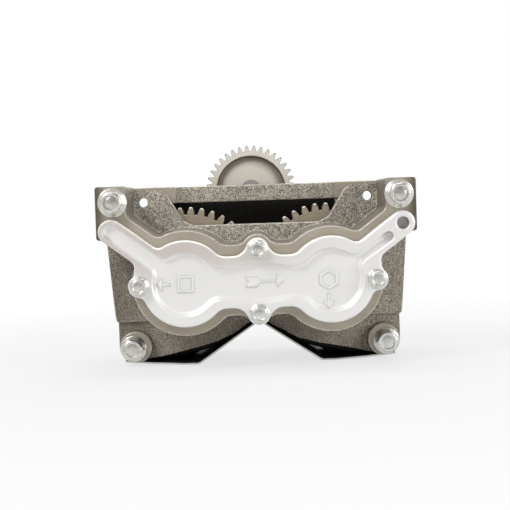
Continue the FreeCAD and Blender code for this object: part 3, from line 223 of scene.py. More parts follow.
# %% [markdown]
# ## Groups
# An effect that several metals share is built once, as a group with named inputs and outputs.
# A group is opened with its inputs, gets its nodes, and is closed with its outputs. Then it is
# placed in each material with values of its own.

# %% Group helpers


def new_group(name, inputs):
    """An empty shader group, and what its named inputs give to the nodes inside it."""
    group = bpy.data.node_groups.new(name, "ShaderNodeTree")
    for title, value in inputs.items():
        kind = "NodeSocketFloat" if isinstance(value, float) else "NodeSocketVector"
        socket = group.interface.new_socket(name=title, in_out="INPUT", socket_type=kind)
        socket.default_value = value
    return group, add(group, "NodeGroupInput").outputs


def close_group(group, outputs):
    """Gives a group its outputs, each a number that changes over the surface."""
    for title in outputs:
        group.interface.new_socket(name=title, in_out="OUTPUT", socket_type="NodeSocketFloat")
    add(group, "NodeGroupOutput", outputs)
    print("group:", group.name, "with", ", ".join(outputs))
    return group


def place_group(tree, group, **values):
    """The outputs of a group that is placed in a material."""
    named = {name.replace("_", " "): value for name, value in values.items()}
    return add(tree, "ShaderNodeGroup", named, node_tree=group).outputs


print("group helpers ready")

# %% [markdown]
# ## Sand grain
# Cast iron keeps the print of the sand it was poured in: rounded grains of half a millimetre
# with small dark pits between them. Two noises of different size add up to that relief. The
# group puts out the height for a bump and two shares that are light on the grains and dark in
# the pits: a soft one, and a hard one that paints raking lamp light where it falls on a wall. It
# also puts out rare bright points, which the metals use as painted glints of light.

# %% Sand grain group
WIDE_SCALE, PIT_SCALE = 0.32, 0.75
WIDE_SHARE = 0.22


def make_sand_grain():
    group, given = new_group("Sand grain", {"Grains per metre": 1200.0})
    place, scale = own_place(group), given["Grains per metre"]
    fine = noise(group, place, scale, 5.0, 0.68)
    wide = noise(group, place, times(group, scale, WIDE_SCALE), 2.0)
    pits = add(group, "ShaderNodeTexVoronoi",
               {"Vector": place, "Scale": times(group, scale, PIT_SCALE), "Randomness": 1.0},
               feature="SMOOTH_F1").outputs["Distance"]
    both = plus(group, fine, times(group, wide, WIDE_SHARE))
    return close_group(group, {
        "Height": plus(group, maths(group, "SUBTRACT", fine, pits), wide),
        "Light": ramp(group, both, 0.48, 0.745),
        "Hard light": ramp(group, both, 0.542, 0.682),
        "Glint": ramp(group, fine, 0.6, 0.66)})


SAND_GRAIN = make_sand_grain()

# %% [markdown]
# ## Cutter lines
# A milled face carries fine arcs, because the cutter's teeth sweep round as it travels. Rings
# about a far centre look like such arcs, and rings about a near centre look like turning. One
# group serves both: the distance from a centre runs through a noise, which gives lines of
# uneven strength along the sweep. It puts out that distance too, for a finish that changes
# from the middle of a gear to its rim.

# %% Cutter lines group
ALONG_SHAFTS_LEFT_OUT = (1.0, 0.0, 1.0)
DRIFT = 0.03


def make_cutter_lines():
    group, given = new_group("Cutter lines",
                             {"Centre": (0.0, 0.0, 0.0), "Lines per metre": 1600.0})
    place = own_place(group)
    apart = vectors(group, "SUBTRACT", {0: place, 1: given["Centre"]})
    flat = vectors(group, "MULTIPLY", {0: apart, 1: ALONG_SHAFTS_LEFT_OUT})
    reach = vectors(group, "LENGTH", {0: flat}, "Value")
    sweep = add(group, "ShaderNodeCombineXYZ", {"X": reach}).outputs[0]
    drift = vectors(group, "SCALE", {0: place, "Scale": DRIFT})
    track = vectors(group, "ADD", {0: sweep, 1: drift})
    lines = noise(group, track, given["Lines per metre"], 3.0, 0.7)
    return close_group(group, {"Height": lines, "Light": ramp(group, lines, 0.3, 0.7),
                               "Reach": reach})


CUTTER_LINES = make_cutter_lines()

# %% [markdown]
# ## Wear, handling and edge sheen
# Edges of metal are rubbed bright and catch the lamps, so the edge share is partly wear and
# partly a painted highlight. Broad faces carry faint oil and finger marks. The edge share comes
# from an attribute that is painted on the rounded edges when they are made. A noise breaks it
# up. The smudge share is a slow noise that changes colour and gloss a little.

# %% Wear group
NICKS_PER_METRE = 420.0


def make_wear_and_sheen():
    group, given = new_group("Wear, handling and edge sheen",
                             {"Smudges per metre": 28.0, "Edge strength": 1.0})
    place = own_place(group)
    nicks = ramp(group, noise(group, place, NICKS_PER_METRE, 4.0), 0.3, 0.55)
    # The edge share: rubbed wear and a painted highlight on the rounded edges.
    rubbed_and_lit = times(group, attribute(group, "edge"), nicks)
    smudges = noise(group, place, given["Smudges per metre"], 5.0, 0.62)
    return close_group(group, {"Edge": times(group, rubbed_and_lit, given["Edge strength"]),
                               "Smudge": ramp(group, smudges, 0.35, 0.68)})


WEAR_AND_SHEEN = make_wear_and_sheen()

# %% [markdown]
# ## Metal materials
# Every metal here is one Principled shader whose colour, roughness and relief come from the
# groups. One function starts the material and one ends it, so each finish below only says how
# its own layers mix. A cast piece is also softened: a Bevel node rounds its shading over edges
# that are too fine to round in the mesh.

# %% Metal base


def new_metal(name):
    made = bpy.data.materials.new(name)
    made.use_nodes = True
    return made, made.node_tree


def finish_metal(made, colour, rough, relief, metallic, depth, strength=1.0, softness=0.0):
    """Feeds the shader. Depth is that of the relief in metres, softness is in millimetres."""
    tree = made.node_tree
    bump = add(tree, "ShaderNodeBump",
               {"Height": relief, "Distance": depth, "Strength": strength})
    if softness:
        mould = add(tree, "ShaderNodeBevel", {"Radius": softness * MM}, samples=6)
        feed(tree, mould.outputs["Normal"], bump.inputs["Normal"])
    shader = next(n for n in tree.nodes if n.type == "BSDF_PRINCIPLED")
    for name, value in (("Metallic", metallic), ("Base Color", colour), ("Roughness", rough),
                        ("Normal", bump.outputs["Normal"])):
        feed(tree, value, shader.inputs[name])
    print("material:", made.name)
    return made


print("metal base ready")

# %% [markdown]
# ## Iron casting
# The casting has two faces: grey-brown sandy skin, and warm beige machined faces with fine
# arcs. Both sit in one material, because they meet on one piece. The share between them is an
# attribute called machined, painted on the flat faces that a cutter reaches. Painted shade makes
# the drafted sides between the two, the left end and the outer rim a darker brown, and the
# chamber near black. The upper walls get painted raking light, the grains painted glints, and
# the rounded edges are partly worn and partly a painted highlight. A place or an attribute says
# where each of these is.

# %% Casting material
SKIN_DARK = (0.115, 0.094, 0.07)
SKIN_LIGHT = (0.80, 0.725, 0.60)
SKIN_RAKING_LIGHT = (0.98, 0.93, 0.81)
SKIN_GLINT = (0.86, 0.83, 0.77)
MACHINED_DARK = (0.40, 0.353, 0.284)
MACHINED_LIGHT = (0.50, 0.447, 0.367)
MACHINED_STAIN = (0.27, 0.228, 0.17)
RIM_SHADE = (0.10, 0.08, 0.055)
WALL_SHADE_BROWN = (0.105, 0.086, 0.064)
EDGE_BRIGHT = (0.80, 0.75, 0.66)
DULL_FILM = (0.03, 0.027, 0.023)
SHADE_BLACK = (0.010, 0.009, 0.008)
LAMP_RAKED_WALLS = (SHAFT_LINE + 0.012, SHAFT_LINE + 0.034)
LEFT_END = (-0.085, -0.13)
OUTER_RIM = (0.1290, 0.1375)


def make_casting(name, cutter_centre, dull=0.0):
    made, tree = new_metal(name)
    sand = place_group(tree, SAND_GRAIN, Grains_per_metre=1230.0)
    lines = place_group(tree, CUTTER_LINES, Centre=cutter_centre, Lines_per_metre=1900.0)
    wear_and_sheen = place_group(tree, WEAR_AND_SHEEN, Smudges_per_metre=17.0, Edge_strength=0.52)
    machined, oily = attribute(tree, "machined"), attribute(tree, "oily")
    x, _, z = place_parts(tree)
    # Painted raking light: from this height up, the skin gets the hard, brighter grain.
    high = ramp(tree, z, *LAMP_RAKED_WALLS)
    skin = blend_colours(tree, sand["Light"], SKIN_DARK, SKIN_LIGHT)
    raking_light = blend_colours(tree, sand["Hard light"], SKIN_DARK, SKIN_RAKING_LIGHT)
    skin = lay_over(tree, skin, high, 0.66, raking_light)
    # Painted glints of light on rare grains.
    skin = lay_over(tree, skin, sand["Glint"], 0.8, SKIN_GLINT)
    skin = lay_over(tree, skin, wear_and_sheen["Smudge"], 0.3, SKIN_DARK)
    # Painted shade: the left end, below the raked upper walls, turns a darker brown.
    far_left = times(tree, ramp(tree, x, *LEFT_END), maths(tree, "SUBTRACT", 1.0, high))
    skin = lay_over(tree, skin, far_left, 0.4, WALL_SHADE_BROWN)
    cut_face = blend_colours(tree, lines["Light"], MACHINED_DARK, MACHINED_LIGHT)
    cut_face = lay_over(tree, cut_face, wear_and_sheen["Smudge"], 0.45, MACHINED_STAIN)
    # Painted shade on the rounded outer rim of the machined faces.
    rim = ramp(tree, maths(tree, "ABSOLUTE", x, 0.0), *OUTER_RIM)
    cut_face = lay_over(tree, cut_face, rim, 0.85, RIM_SHADE)
    colour = blend_colours(tree, machined, skin, cut_face)
    # Painted shade: the drafted sides turn a darker brown.
    colour = lay_over(tree, colour, attribute(tree, "flank"), 0.62, WALL_SHADE_BROWN)
    # Edges: partly rubbed bright, partly a painted highlight.
    colour = blend_colours(tree, wear_and_sheen["Edge"], colour, EDGE_BRIGHT)
    if dull:
        colour = blend_colours(tree, dull, colour, DULL_FILM)
    # Painted shade: the chamber and the lip under the front wall turn near black.
    colour = lay_over(tree, colour, oily, 0.98, SHADE_BLACK)
    rough = maths(tree, "SUBTRACT", 0.50, times(tree, machined, 0.10))
    rough = maths(tree, "SUBTRACT", rough, times(tree, wear_and_sheen["Edge"], 0.15))
    rough = plus(tree, rough, times(tree, oily, 0.4))
    relief = plus(tree, times(tree, sand["Height"], maths(tree, "SUBTRACT", 1.0, machined)),
                  times(tree, lines["Height"], times(tree, machined, 0.06)))
    return finish_metal(made, colour, rough, relief, metallic=0.42, depth=0.00095, softness=1.8)


CASTING = make_casting("casting iron", (0.05, 0.0, -0.45))

# %% [markdown]
# ## Die cast cover
# The cover is bright aluminium, blasted matt, with a slightly pebbled panel. Its raised rim
# has a faint warm tint, stronger high up and to the left, which is partly a stain and partly a
# painted reflection of the brown casting. It is nearly white, so its form shows by shade alone.
# A fine soft bump and a slow change of colour keep it from looking like plastic. Painted shade
# darkens the sides of the raised signs, the recess at the end of the right arm, and the closed
# end of the groove in each arm. Its rounded edges are partly worn and partly a painted highlight.

# %% Cover material
COVER_BRIGHT, COVER_CLOUD = (0.91, 0.90, 0.88), (0.82, 0.805, 0.78)
COVER_SPARK = (0.93, 0.925, 0.91)
COVER_SHADE = (0.31, 0.295, 0.27)
COVER_STAIN_AND_REFLECTION = (0.64, 0.565, 0.52)
GROOVE_ENDS = [spot(x, COVER_RIM, z) for x, z in ((113.5, 37.2), (-131.0, 39.0))]
GROOVE_DEPTHS = (COVER_FACE + 0.0003, COVER_FACE + 0.0010)
GROOVE_SHADE_REACH = (0.0090, 0.0030)
STAIN_AND_REFLECTION_LEFT = (0.06, -0.06)
STAIN_AND_REFLECTION_HIGH = (SHAFT_LINE - 0.006, SHAFT_LINE + 0.022)


def make_cover_metal():
    made, tree = new_metal("cover aluminium")
    grain = place_group(tree, SAND_GRAIN, Grains_per_metre=1900.0)
    wear_and_sheen = place_group(tree, WEAR_AND_SHEEN, Smudges_per_metre=17.0, Edge_strength=0.6)
    x, y, z = place_parts(tree)
    colour = lay_over(tree, COVER_BRIGHT, wear_and_sheen["Smudge"], 0.3, COVER_CLOUD)
    colour = lay_over(tree, colour, grain["Light"], 0.25, COVER_SPARK)
    # Painted shade round the raised signs, in the right arm's recess and at the closed groove
    # ends.
    shade_and_grime_mask = attribute(tree, "grime")
    deep = ramp(tree, y, *GROOVE_DEPTHS)
    for groove_end in GROOVE_ENDS:
        apart = vectors(tree, "DISTANCE", {0: own_place(tree), 1: groove_end}, "Value")
        close = ramp(tree, apart, *GROOVE_SHADE_REACH)
        shade_and_grime_mask = maths(tree, "MAXIMUM", shade_and_grime_mask, times(tree, close, deep))
    colour = lay_over(tree, colour, shade_and_grime_mask, 0.66, COVER_SHADE)
    # A warm tint on the rim, stronger high up and to the left: partly a stain, partly a painted
    # reflection of the brown casting.
    left = plus(tree, 0.12, times(tree, ramp(tree, x, *STAIN_AND_REFLECTION_LEFT), 0.75))
    stain_and_reflection = times(tree, left, ramp(tree, z, *STAIN_AND_REFLECTION_HIGH))
    stain_and_reflection = times(tree, attribute(tree, "machined"), stain_and_reflection)
    colour = blend_colours(tree, stain_and_reflection, colour, COVER_STAIN_AND_REFLECTION)
    # Edges: partly rubbed bright, partly a painted highlight.
    colour = lay_over(tree, colour, wear_and_sheen["Edge"], 0.3, COVER_SPARK)
    rough = plus(tree, 0.42, times(tree, wear_and_sheen["Smudge"], 0.14))
    return finish_metal(made, colour, rough, grain["Height"], metallic=0.6, depth=0.00012,
                        strength=0.55, softness=3.0)


COVER_METAL = make_cover_metal()

# %% [markdown]
# ## Gear and shaft steel
# Gear faces are turned, so they carry rings about their own axis, and they have a warm tint
# from oil and heat. Each gear gets its own copy of the finish with its own centre. The chamfers
# of the teeth are the brightest part, which the edge share brings out as wear and a painted
# highlight, and painted shade darkens the faces between the teeth. A gear with a dished web gets
# painted shade where the web meets the rim.

# %% Gear material
GEAR_STEEL = ((0.38, 0.315, 0.235), (0.58, 0.505, 0.40))
IDLER_STEEL = ((0.78, 0.735, 0.65), (0.86, 0.82, 0.74))
SHAFT_STEEL = ((0.44, 0.42, 0.39), (0.68, 0.66, 0.62))
PLAIN_STEEL = ((0.46, 0.44, 0.41), (0.70, 0.68, 0.64))
WASHER_STEEL = ((0.46, 0.44, 0.41), (0.72, 0.70, 0.66))
BRONZE = ((0.30, 0.20, 0.09), (0.56, 0.41, 0.21))
PHOSPHATE = ((0.10, 0.098, 0.092), (0.19, 0.185, 0.175))
TOOTH_EDGE = (0.90, 0.88, 0.83)
DISH_SHADE = (0.13, 0.10, 0.07)
TOOTH_SHADE = (0.07, 0.057, 0.043)


def make_turned(name, centre, tones, rough=0.34, lines_per_metre=1900.0, metallic=0.9,
                dish=None):
    """Turned metal about a centre, in a dark and a light tone. Dish is the web's radius."""
    made, tree = new_metal(name)
    lines = place_group(tree, CUTTER_LINES, Centre=centre, Lines_per_metre=lines_per_metre)
    wear_and_sheen = place_group(tree, WEAR_AND_SHEEN, Smudges_per_metre=40.0, Edge_strength=1.0)
    colour = blend_colours(tree, lines["Light"], *tones)
    colour = lay_over(tree, colour, wear_and_sheen["Smudge"], 0.3, tones[0])
    # Painted shade on the dish wall, where the web meets the rim.
    if dish:
        dish_shade = times(tree, ramp(tree, lines["Reach"], dish - 0.011, dish - 0.001),
                     ramp(tree, lines["Reach"], dish + 0.0004, dish - 0.0001))
        colour = lay_over(tree, colour, dish_shade, 0.85, DISH_SHADE)
    # Edges: partly rubbed bright, partly a painted highlight.
    colour = blend_colours(tree, wear_and_sheen["Edge"], colour, TOOTH_EDGE)
    # Painted shade between the teeth.
    colour = lay_over(tree, colour, attribute(tree, "oily"), 0.88, TOOTH_SHADE)
    rough = plus(tree, rough, times(tree, wear_and_sheen["Smudge"], 0.12))
    return finish_metal(made, colour, rough, lines["Height"], metallic, depth=0.00006,
                        strength=0.5)


print("turned finish ready")

# %% [markdown]
# ## From an edited mesh to a piece
# A mesh is edited in bmesh, where faces can be merged, bevelled and painted. At the end it
# becomes an object with its material. Smooth shading, sharp where the skin really turns, and
# normals weighted by face size keep flat faces flat and let the rounded edges catch the light.

# %% Finished meshes


def new_object(name, data):
    made = bpy.data.objects.new(name, data)
    bpy.context.scene.collection.objects.link(made)
    return made


def plain_mesh(holder):
    """What an object's modifiers or its curve make, as a mesh of its own."""
    return bpy.data.meshes.new_from_object(
        holder.evaluated_get(bpy.context.evaluated_depsgraph_get()))


def smooth_mesh(edit, name, sharp_angle):
    mesh = bpy.data.meshes.new(name)
    edit.to_mesh(mesh)
    edit.free()
    mesh.shade_smooth()
    mesh.set_sharp_from_angle(angle=math.radians(sharp_angle))
    return mesh


def finished(edit, name, material, sharp_angle=32.0):
    made = new_object(name, smooth_mesh(edit, name, sharp_angle))
    made.data.materials.append(material)
    flat = made.modifiers.new("flat faces", "WEIGHTED_NORMAL")
    flat.keep_sharp = True
    flat.weight = 90
    return made


print("mesh helpers ready")

# %% [markdown]
# ## Rounding edges safely
# The solids have knife edges, and real castings do not, so sharp edges are bevelled. Where
# short edges crowd together, a bevel can fold the skin back on itself or lift it off the real
# surface. So the bevel is tried, its faults are found, and it is tried again on a fresh copy
# with the edges beside the faults left sharp, each time a little further round.

# %% Rounded edges
FOLDED = math.radians(166)
SHORTEST_EDGE = 1e-5
LIFT_ALLOWED = 0.75
ROUNDS = 6
LEFT_SHARP, LEFT_SHARP_GROWTH = 0.5, 0.35


def faults(edit, surface, width):
    """Places where a bevel folded the skin or left the real surface by too much."""
    check = edit.copy()
    bmesh.ops.triangulate(check, faces=check.faces)
    places = []
    for edge in check.edges:
        if edge.calc_face_angle(0.0) > FOLDED and edge.calc_length() > SHORTEST_EDGE:
            places += [vert.co.copy() for vert in edge.verts]
    for vert in check.verts:
        near, _, _, apart = surface.find_nearest(vert.co)
        if apart > width * MM * LIFT_ALLOWED:
            places += [near, vert.co.copy()]
    check.free()
    return places


def near_any(edge, tree, reach):
    """True where an edge passes close to one of the faults."""
    first, second = (vert.co for vert in edge.verts)
    steps = max(1, int(edge.calc_length() / reach))
    return any(tree.find(first.lerp(second, step / steps))[2] < reach
               for step in range(steps + 1))


def round_edges(base, corner, width, segments):
    """A bevelled copy of the mesh, with how many edges it rounds and the faults it keeps."""
    limit = math.radians(corner)
    surface = BVHTree.FromBMesh(base)
    banned = []
    for attempt in range(ROUNDS):
        edit = base.copy()
        sharp = [edge for edge in edit.edges
                 if len(edge.link_faces) == 2 and edge.calc_face_angle(0.0) > limit]
        if banned:
            tree = KDTree(len(banned))
            for number, place in enumerate(banned):
                tree.insert(place, number)
            tree.balance()
            reach = (LEFT_SHARP + LEFT_SHARP_GROWTH * attempt) * MM
            sharp = [edge for edge in sharp if not near_any(edge, tree, reach)]
        made = bmesh.ops.bevel(edit, geom=sharp, offset=width * MM, offset_type="OFFSET",
                               segments=segments, profile=0.5, affect="EDGES",
                               clamp_overlap=False, loop_slide=True, material=-1)
        edge_layer = edit.faces.layers.float["edge"]
        for face in made["faces"]:
            face[edge_layer] = 1.0
        found = faults(edit, surface, width)
        if not found or attempt == ROUNDS - 1:
            break
        banned += found
        edit.free()
    return edit, len(sharp), len(found)


print("rounding ready:", ROUNDS, "rounds at most")

# %% [markdown]
# ## Dressing a solid
# A copy of each shown solid gets its loose triangles joined, its flat faces merged and its
# sharp edges rounded. Five attributes are painted on its faces for the materials: `edge` on
# the new rounded faces, `machined` on faces in a plane that a cutter reaches, `oily`
# where painted shade makes a surface near black, `flank` on drafted sides and `grime`
# where grime and painted shade darken a surface. The copy then stands for the solid. Small
# pieces that hardly show keep their solids and only get a material.

# %% Dressing helper
MERGED = 4e-6
FLAT = math.radians(0.8)
FACING_ALIKE = 0.995
ON_PLANE = 0.00006
FRONT, BACK, UP = (1, -1), (1, 1), (2, 1)


def in_plane(face, planes):
    """True for a flat face that lies in one of the planes, each given as axis, sign and place."""
    centre = face.calc_center_median()
    return any(face.normal[axis] * sign > FACING_ALIKE and abs(centre[axis] - place) < ON_PLANE
               for axis, sign, place in planes)


def paint_faces(edit, layer, test):
    for face in edit.faces:
        face[layer] = 1.0 if test and test(face) else 0.0


def dressed(node, material, width, planes=(), corner=30.0, segments=2, reshape=None, **tests):
    """A rounded copy of a solid, with its faces painted by a test for each attribute."""
    base = bmesh.new()
    base.from_mesh(NODES[node].data)
    bmesh.ops.remove_doubles(base, verts=base.verts, dist=MERGED)
    bmesh.ops.dissolve_degenerate(base, dist=MERGED, edges=base.edges)
    bmesh.ops.dissolve_limit(base, angle_limit=FLAT, verts=base.verts, edges=base.edges)
    layers = {name: base.faces.layers.float.new(name)
              for name in ("edge", "machined", "oily", "flank", "grime")}
    paint_faces(base, layers["machined"], lambda face: in_plane(face, planes))
    if reshape:
        reshape(base)
    edit, rounded, left = round_edges(base, corner, width, segments)
    for name in ("oily", "flank", "grime"):
        paint_faces(edit, edit.faces.layers.float[name], tests.get(name))
    piece = finished(edit, node + "_dressed", material)
    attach(piece, frame["nodes"][node]["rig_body"])
    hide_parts(node)
    print(f"{node}: {rounded} edges rounded, {left} faults left, {len(piece.data.polygons)} faces")


def paint(node, material):
    """Gives a solid that stays as it is its material."""
    mesh = NODES[node].data
    mesh.materials.clear()
    mesh.materials.append(material)


# %% [markdown]
# ## Where painted shade and draft are
# The gear chamber between the walls lies in deep shade, which is painted near black. A box
# round it is enough to tell its faces. The drafted sides are those that rise from the sandy wall
# to the machined face, and the underside of the front wall gets the same painted shade as the
# chamber behind it.

# %% Casting zones
JOINT = spot(0, 67, 0).y
WALL_FRONT = spot(0, 55, 0).y
CHAMBER_LOW, CHAMBER_HIGH = spot(-117, 66.8, -110), spot(117, 121, 66)
FLANKS_END = 0.1385
LIP_END = 0.095
LIP_CEILING = spot(0, 0, -38).z


def in_chamber(face):
    centre = face.calc_center_median()
    return all(CHAMBER_LOW[axis] < centre[axis] < CHAMBER_HIGH[axis] for axis in range(3))


def in_chamber_or_lip(face):
    centre = face.calc_center_median()
    lip = face.normal.z < -0.2 and centre.y > WALL_FRONT and abs(centre.x) < LIP_END \
        and centre.z < LIP_CEILING
    return lip or in_chamber(face)


def drafted_side(face):
    centre = face.calc_center_median()
    return abs(face.normal.y) < 0.5 and centre.y < WALL_FRONT and abs(centre.x) < FLANKS_END


print("chamber in mm:", [round(v / MM) for v in CHAMBER_HIGH - CHAMBER_LOW])

# %% [markdown]
# ## Fitting the walls
# The solids stay a little clear of each other, and through those gaps light or teeth would
# show that the photograph doesn't have. So three places are moved before the edges are
# rounded. The back of the front wall's lower edge comes down, to hide the gear teeth behind
# it. The rear wall comes down to the tray. And the two bolt bosses behind the ears are trimmed,
# so that the pale background shows through the ear holes. The tray's inner side is a few
# straight runs, given here in millimetres from the middle and from the shaft line.

# %% Fitting the walls
TRAY_PROFILE = ((0.0, -39.0), (3.0, -40.1), (56.0, -75.7), (60.0, -76.0), (70.0, -76.0),
                (96.0, -74.5))
OVER_TRAY = 0.5
LIP_FROM, LIP_TO, LIP_DROP = 6.0, 92.0, 4.0
LIP_TOP, LIP_TOP_FROM, LIP_FALL = -41.0, 8.0, 0.2
REAR_WALL = (spot(0, 119, 0).y, spot(0, 136, 0).y)
REAR_WALL_EDGE = spot(0, 0, -31.9).z
TRAY_FOOT = 98.2
BOSS_X, BOSS_Y, BOSS_REACH, BOSS_CUT = 90.0, 82.0, 12.4, 8.0
BOSS_BOTTOM = spot(0, 0, 64).z


def over_tray(across_mm):
    """Height in the scene just over the tray, at a distance from the middle."""
    height = TRAY_PROFILE[-1][1]
    for (near, high), (far, low) in zip(TRAY_PROFILE, TRAY_PROFILE[1:]):
        if across_mm <= far:
            height = high + (low - high) * (across_mm - near) / (far - near)
            break
    return spot(0, 0, height + OVER_TRAY).z


def slope_lip(edit):
    """Lowers the back of the front wall's lower edge, but not into the tray."""
    for vert in edit.verts:
        across_mm = abs(vert.co.x) / MM
        lip_top = spot(0, 0, LIP_TOP - LIP_FALL * (across_mm - LIP_TOP_FROM)).z
        if vert.co.y > JOINT - 0.5 * MM and LIP_FROM < across_mm < LIP_TO \
                and vert.co.z < lip_top:
            lowest = over_tray(across_mm)
            vert.co.z = max(vert.co.z - LIP_DROP * MM, min(vert.co.z, lowest))


def fit_neighbours(edit):
    """Trims the two bolt bosses behind the ears and brings the rear wall down to the tray."""
    for vert in edit.verts:
        across_boss = abs(vert.co.x) - BOSS_X * MM
        if vert.co.z > BOSS_BOTTOM and across_boss > BOSS_CUT * MM and math.hypot(
                across_boss, vert.co.y - spot(0, BOSS_Y, 0).y) < BOSS_REACH * MM:
            vert.co.x = math.copysign((BOSS_X + BOSS_CUT) * MM, vert.co.x)
        if REAR_WALL[0] < vert.co.y < REAR_WALL[1] and vert.co.z < REAR_WALL_EDGE \
                and abs(vert.co.x) < TRAY_FOOT * MM:
            vert.co.z = min(vert.co.z, over_tray(abs(vert.co.x) / MM))
    bmesh.ops.remove_doubles(edit, verts=edit.verts, dist=MERGED)
    bmesh.ops.dissolve_degenerate(edit, dist=MERGED, edges=edit.edges)


print("rear wall edge z:", round(REAR_WALL_EDGE, 4), "lowest tray z:", round(over_tray(60.0), 4))

# %% [markdown]
# ## The castings
# The front casting is milled on its gasket face, on the seats of the lower bolts and on the
# joint between the two castings. The rear one is milled on the joint and on the block face.
# All else keeps its sandy skin, so only those planes are listed.

# %% Castings
BLOCK = 0.0
SEATS = spot(0, 50, 0).y
# The front casting: painted shade on its chamber and on the lip under its front wall.
dressed("front_housing", CASTING, 1.1,
        [(*FRONT, GASKET_FACE), (*FRONT, SEATS), (*BACK, JOINT), (*UP, BLOCK)],
        segments=3, oily=in_chamber_or_lip, flank=drafted_side, reshape=slope_lip)
# The rear casting: painted shade on its chamber.
dressed("rear_housing", CASTING, 1.0, [(*FRONT, JOINT), (*UP, BLOCK)], segments=3,
        oily=in_chamber, reshape=fit_neighbours)
dressed("idler_bracket", make_casting("bracket iron", (0.02, 0.0, 0.1)), 0.8,
        [(*BACK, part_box("idler_bracket")[1].y)])

# %% [markdown]
# ## Cover and gasket
# The die cast cover has soft edges all round: the outer rim, the inner rim and the floor of
# its panel. A wider bevel with more steps gives that softness. The gasket is a thin dark sheet
# of fibre that shows as a line between the cover and the iron, so its solid is only painted.

# %% Cover
ARM_RECESS = spot(126.0, COVER_RIM, 46.7)
RECESS_RADIUS = 5.6
GASKET_TONES = ((0.03, 0.028, 0.025), (0.085, 0.08, 0.072))


def in_arm_recess(face):
    """True inside the round recess at the end of the right arm."""
    centre = face.calc_center_median() - ARM_RECESS
    return math.hypot(centre.x, centre.z) < RECESS_RADIUS * MM and centre.y > 0.4 * MM


# The recess at the end of the right arm gets painted shade.
dressed("end_cover", COVER_METAL, 1.4, [(*FRONT, COVER_FACE)], segments=3, corner=33.0,
        grime=in_arm_recess)
gasket_paper, tree = new_metal("gasket paper")
fibres = place_group(tree, SAND_GRAIN, Grains_per_metre=2600.0)
finish_metal(gasket_paper, blend_colours(tree, fibres["Light"], *GASKET_TONES), 0.9,
             fibres["Height"], metallic=0.0, depth=0.0001)
paint("cover_gasket", gasket_paper)

# %% [markdown]
# ## Marks on the panel
# The panel carries plain raised signs that tell a fitter which way things turn: three arrows,
# a square frame and a hexagon frame. Each is a flat outline, filled by a 2D curve, because such
# a curve takes holes and gives its edge a soft round by itself. The outlines are turned up to
# stand on the panel and joined in one piece. Their sides are darkened with painted shade.

# %% Panel marks
RAISE = 0.9 * MM
SOFT = 0.34 * MM


def outline_mesh(name, loops):
    """A raised flat sign. The first loop is its outer edge and the others are holes."""
    curve = bpy.data.curves.new(name, "CURVE")
    curve.dimensions = "2D"
    curve.fill_mode = "BOTH"
    curve.extrude = RAISE - SOFT
    curve.bevel_depth = SOFT
    curve.offset = -SOFT
    curve.bevel_resolution = 2
    for loop in loops:
        spline = curve.splines.new("POLY")
        spline.points.add(len(loop) - 1)
        for point, (x, z) in zip(spline.points, loop):
            point.co = (x * MM, z * MM, 0.0, 1.0)
        spline.use_cyclic_u = True
    holder = new_object(name, curve)
    mesh = plain_mesh(holder)
    bpy.data.objects.remove(holder)
    mesh.transform(Matrix.Translation((0.0, PANEL_FLOOR, SHAFT_LINE))
                   @ Matrix.Rotation(math.radians(90), 4, "X"))
    return mesh


def regular(x, z, radius, sides, first):
    """The corners of a regular outline. First is the angle of its first corner."""
    angles = [math.radians(first) + 2 * math.pi * n / sides for n in range(sides)]
    return [(x + radius * math.cos(a), z + radius * math.sin(a)) for a in angles]


SIGNS = [
    [[(-88.2, -0.3), (-83.0, 5.9), (-83.0, 1.1), (-76.0, 1.1), (-76.0, -1.7), (-83.0, -1.7),
      (-83.0, -6.4)]],
    [[(-70.4, -7.7), (-55.5, -7.9), (-55.3, 7.3), (-70.2, 7.5)],
     [(-68.0, -5.3), (-57.9, -5.4), (-57.7, 4.9), (-67.8, 5.0)]],
    [[(-11.7, 4.4), (-8.0, -0.3), (-11.4, -4.9), (-1.2, -4.9), (1.5, -1.2), (15.9, -0.9),
      (15.8, -6.0), (22.0, 0.2), (16.0, 6.2), (15.9, 1.2), (1.6, 1.0), (-1.1, 3.9)]],
    [regular(61.0, -0.1, 9.3, 6, 30), regular(61.0, -0.1, 6.3, 6, 30)],
    [[(59.6, -12.0), (61.7, -12.0), (61.7, -18.9), (66.1, -18.9), (60.4, -25.4), (55.5, -18.9),
      (59.6, -18.9)]],
]
marks_edit = bmesh.new()
for number, loops in enumerate(SIGNS):
    marks_edit.from_mesh(outline_mesh(f"sign_{number}", loops))
bmesh.ops.remove_doubles(marks_edit, verts=marks_edit.verts, dist=1e-6)
bmesh.ops.recalc_face_normals(marks_edit, faces=marks_edit.faces)
paint_faces(marks_edit, marks_edit.faces.layers.float.new("edge"), None)
# Painted shade on the sides of the signs.
paint_faces(marks_edit, marks_edit.faces.layers.float.new("grime"),
            lambda face: abs(face.normal.y) < 0.9)
marks = finished(marks_edit, "panel_marks", COVER_METAL, 40.0)
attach(marks, "housing")
print("signs:", len(SIGNS), "faces:", len(marks.data.polygons))

# %% [markdown]
# ## A skin through rings
# A bolt is round in some places and six-sided in others. A skin through rings round its axis
# can be both: each ring says its radius and its depth at every angle, so the same few lines
# make the round flange, the hexagon, and the curved chamfer where they meet. Narrow faces are
# painted as edges, and those that look forward inside the crown are marked to be painted darker.

# %% Ring skin
RING_STEPS = 72
NARROW, SMALL_AREA, EDGE_SHARE = 0.0007, 1.2e-6, 0.7
OFF_CROWN = 0.00008


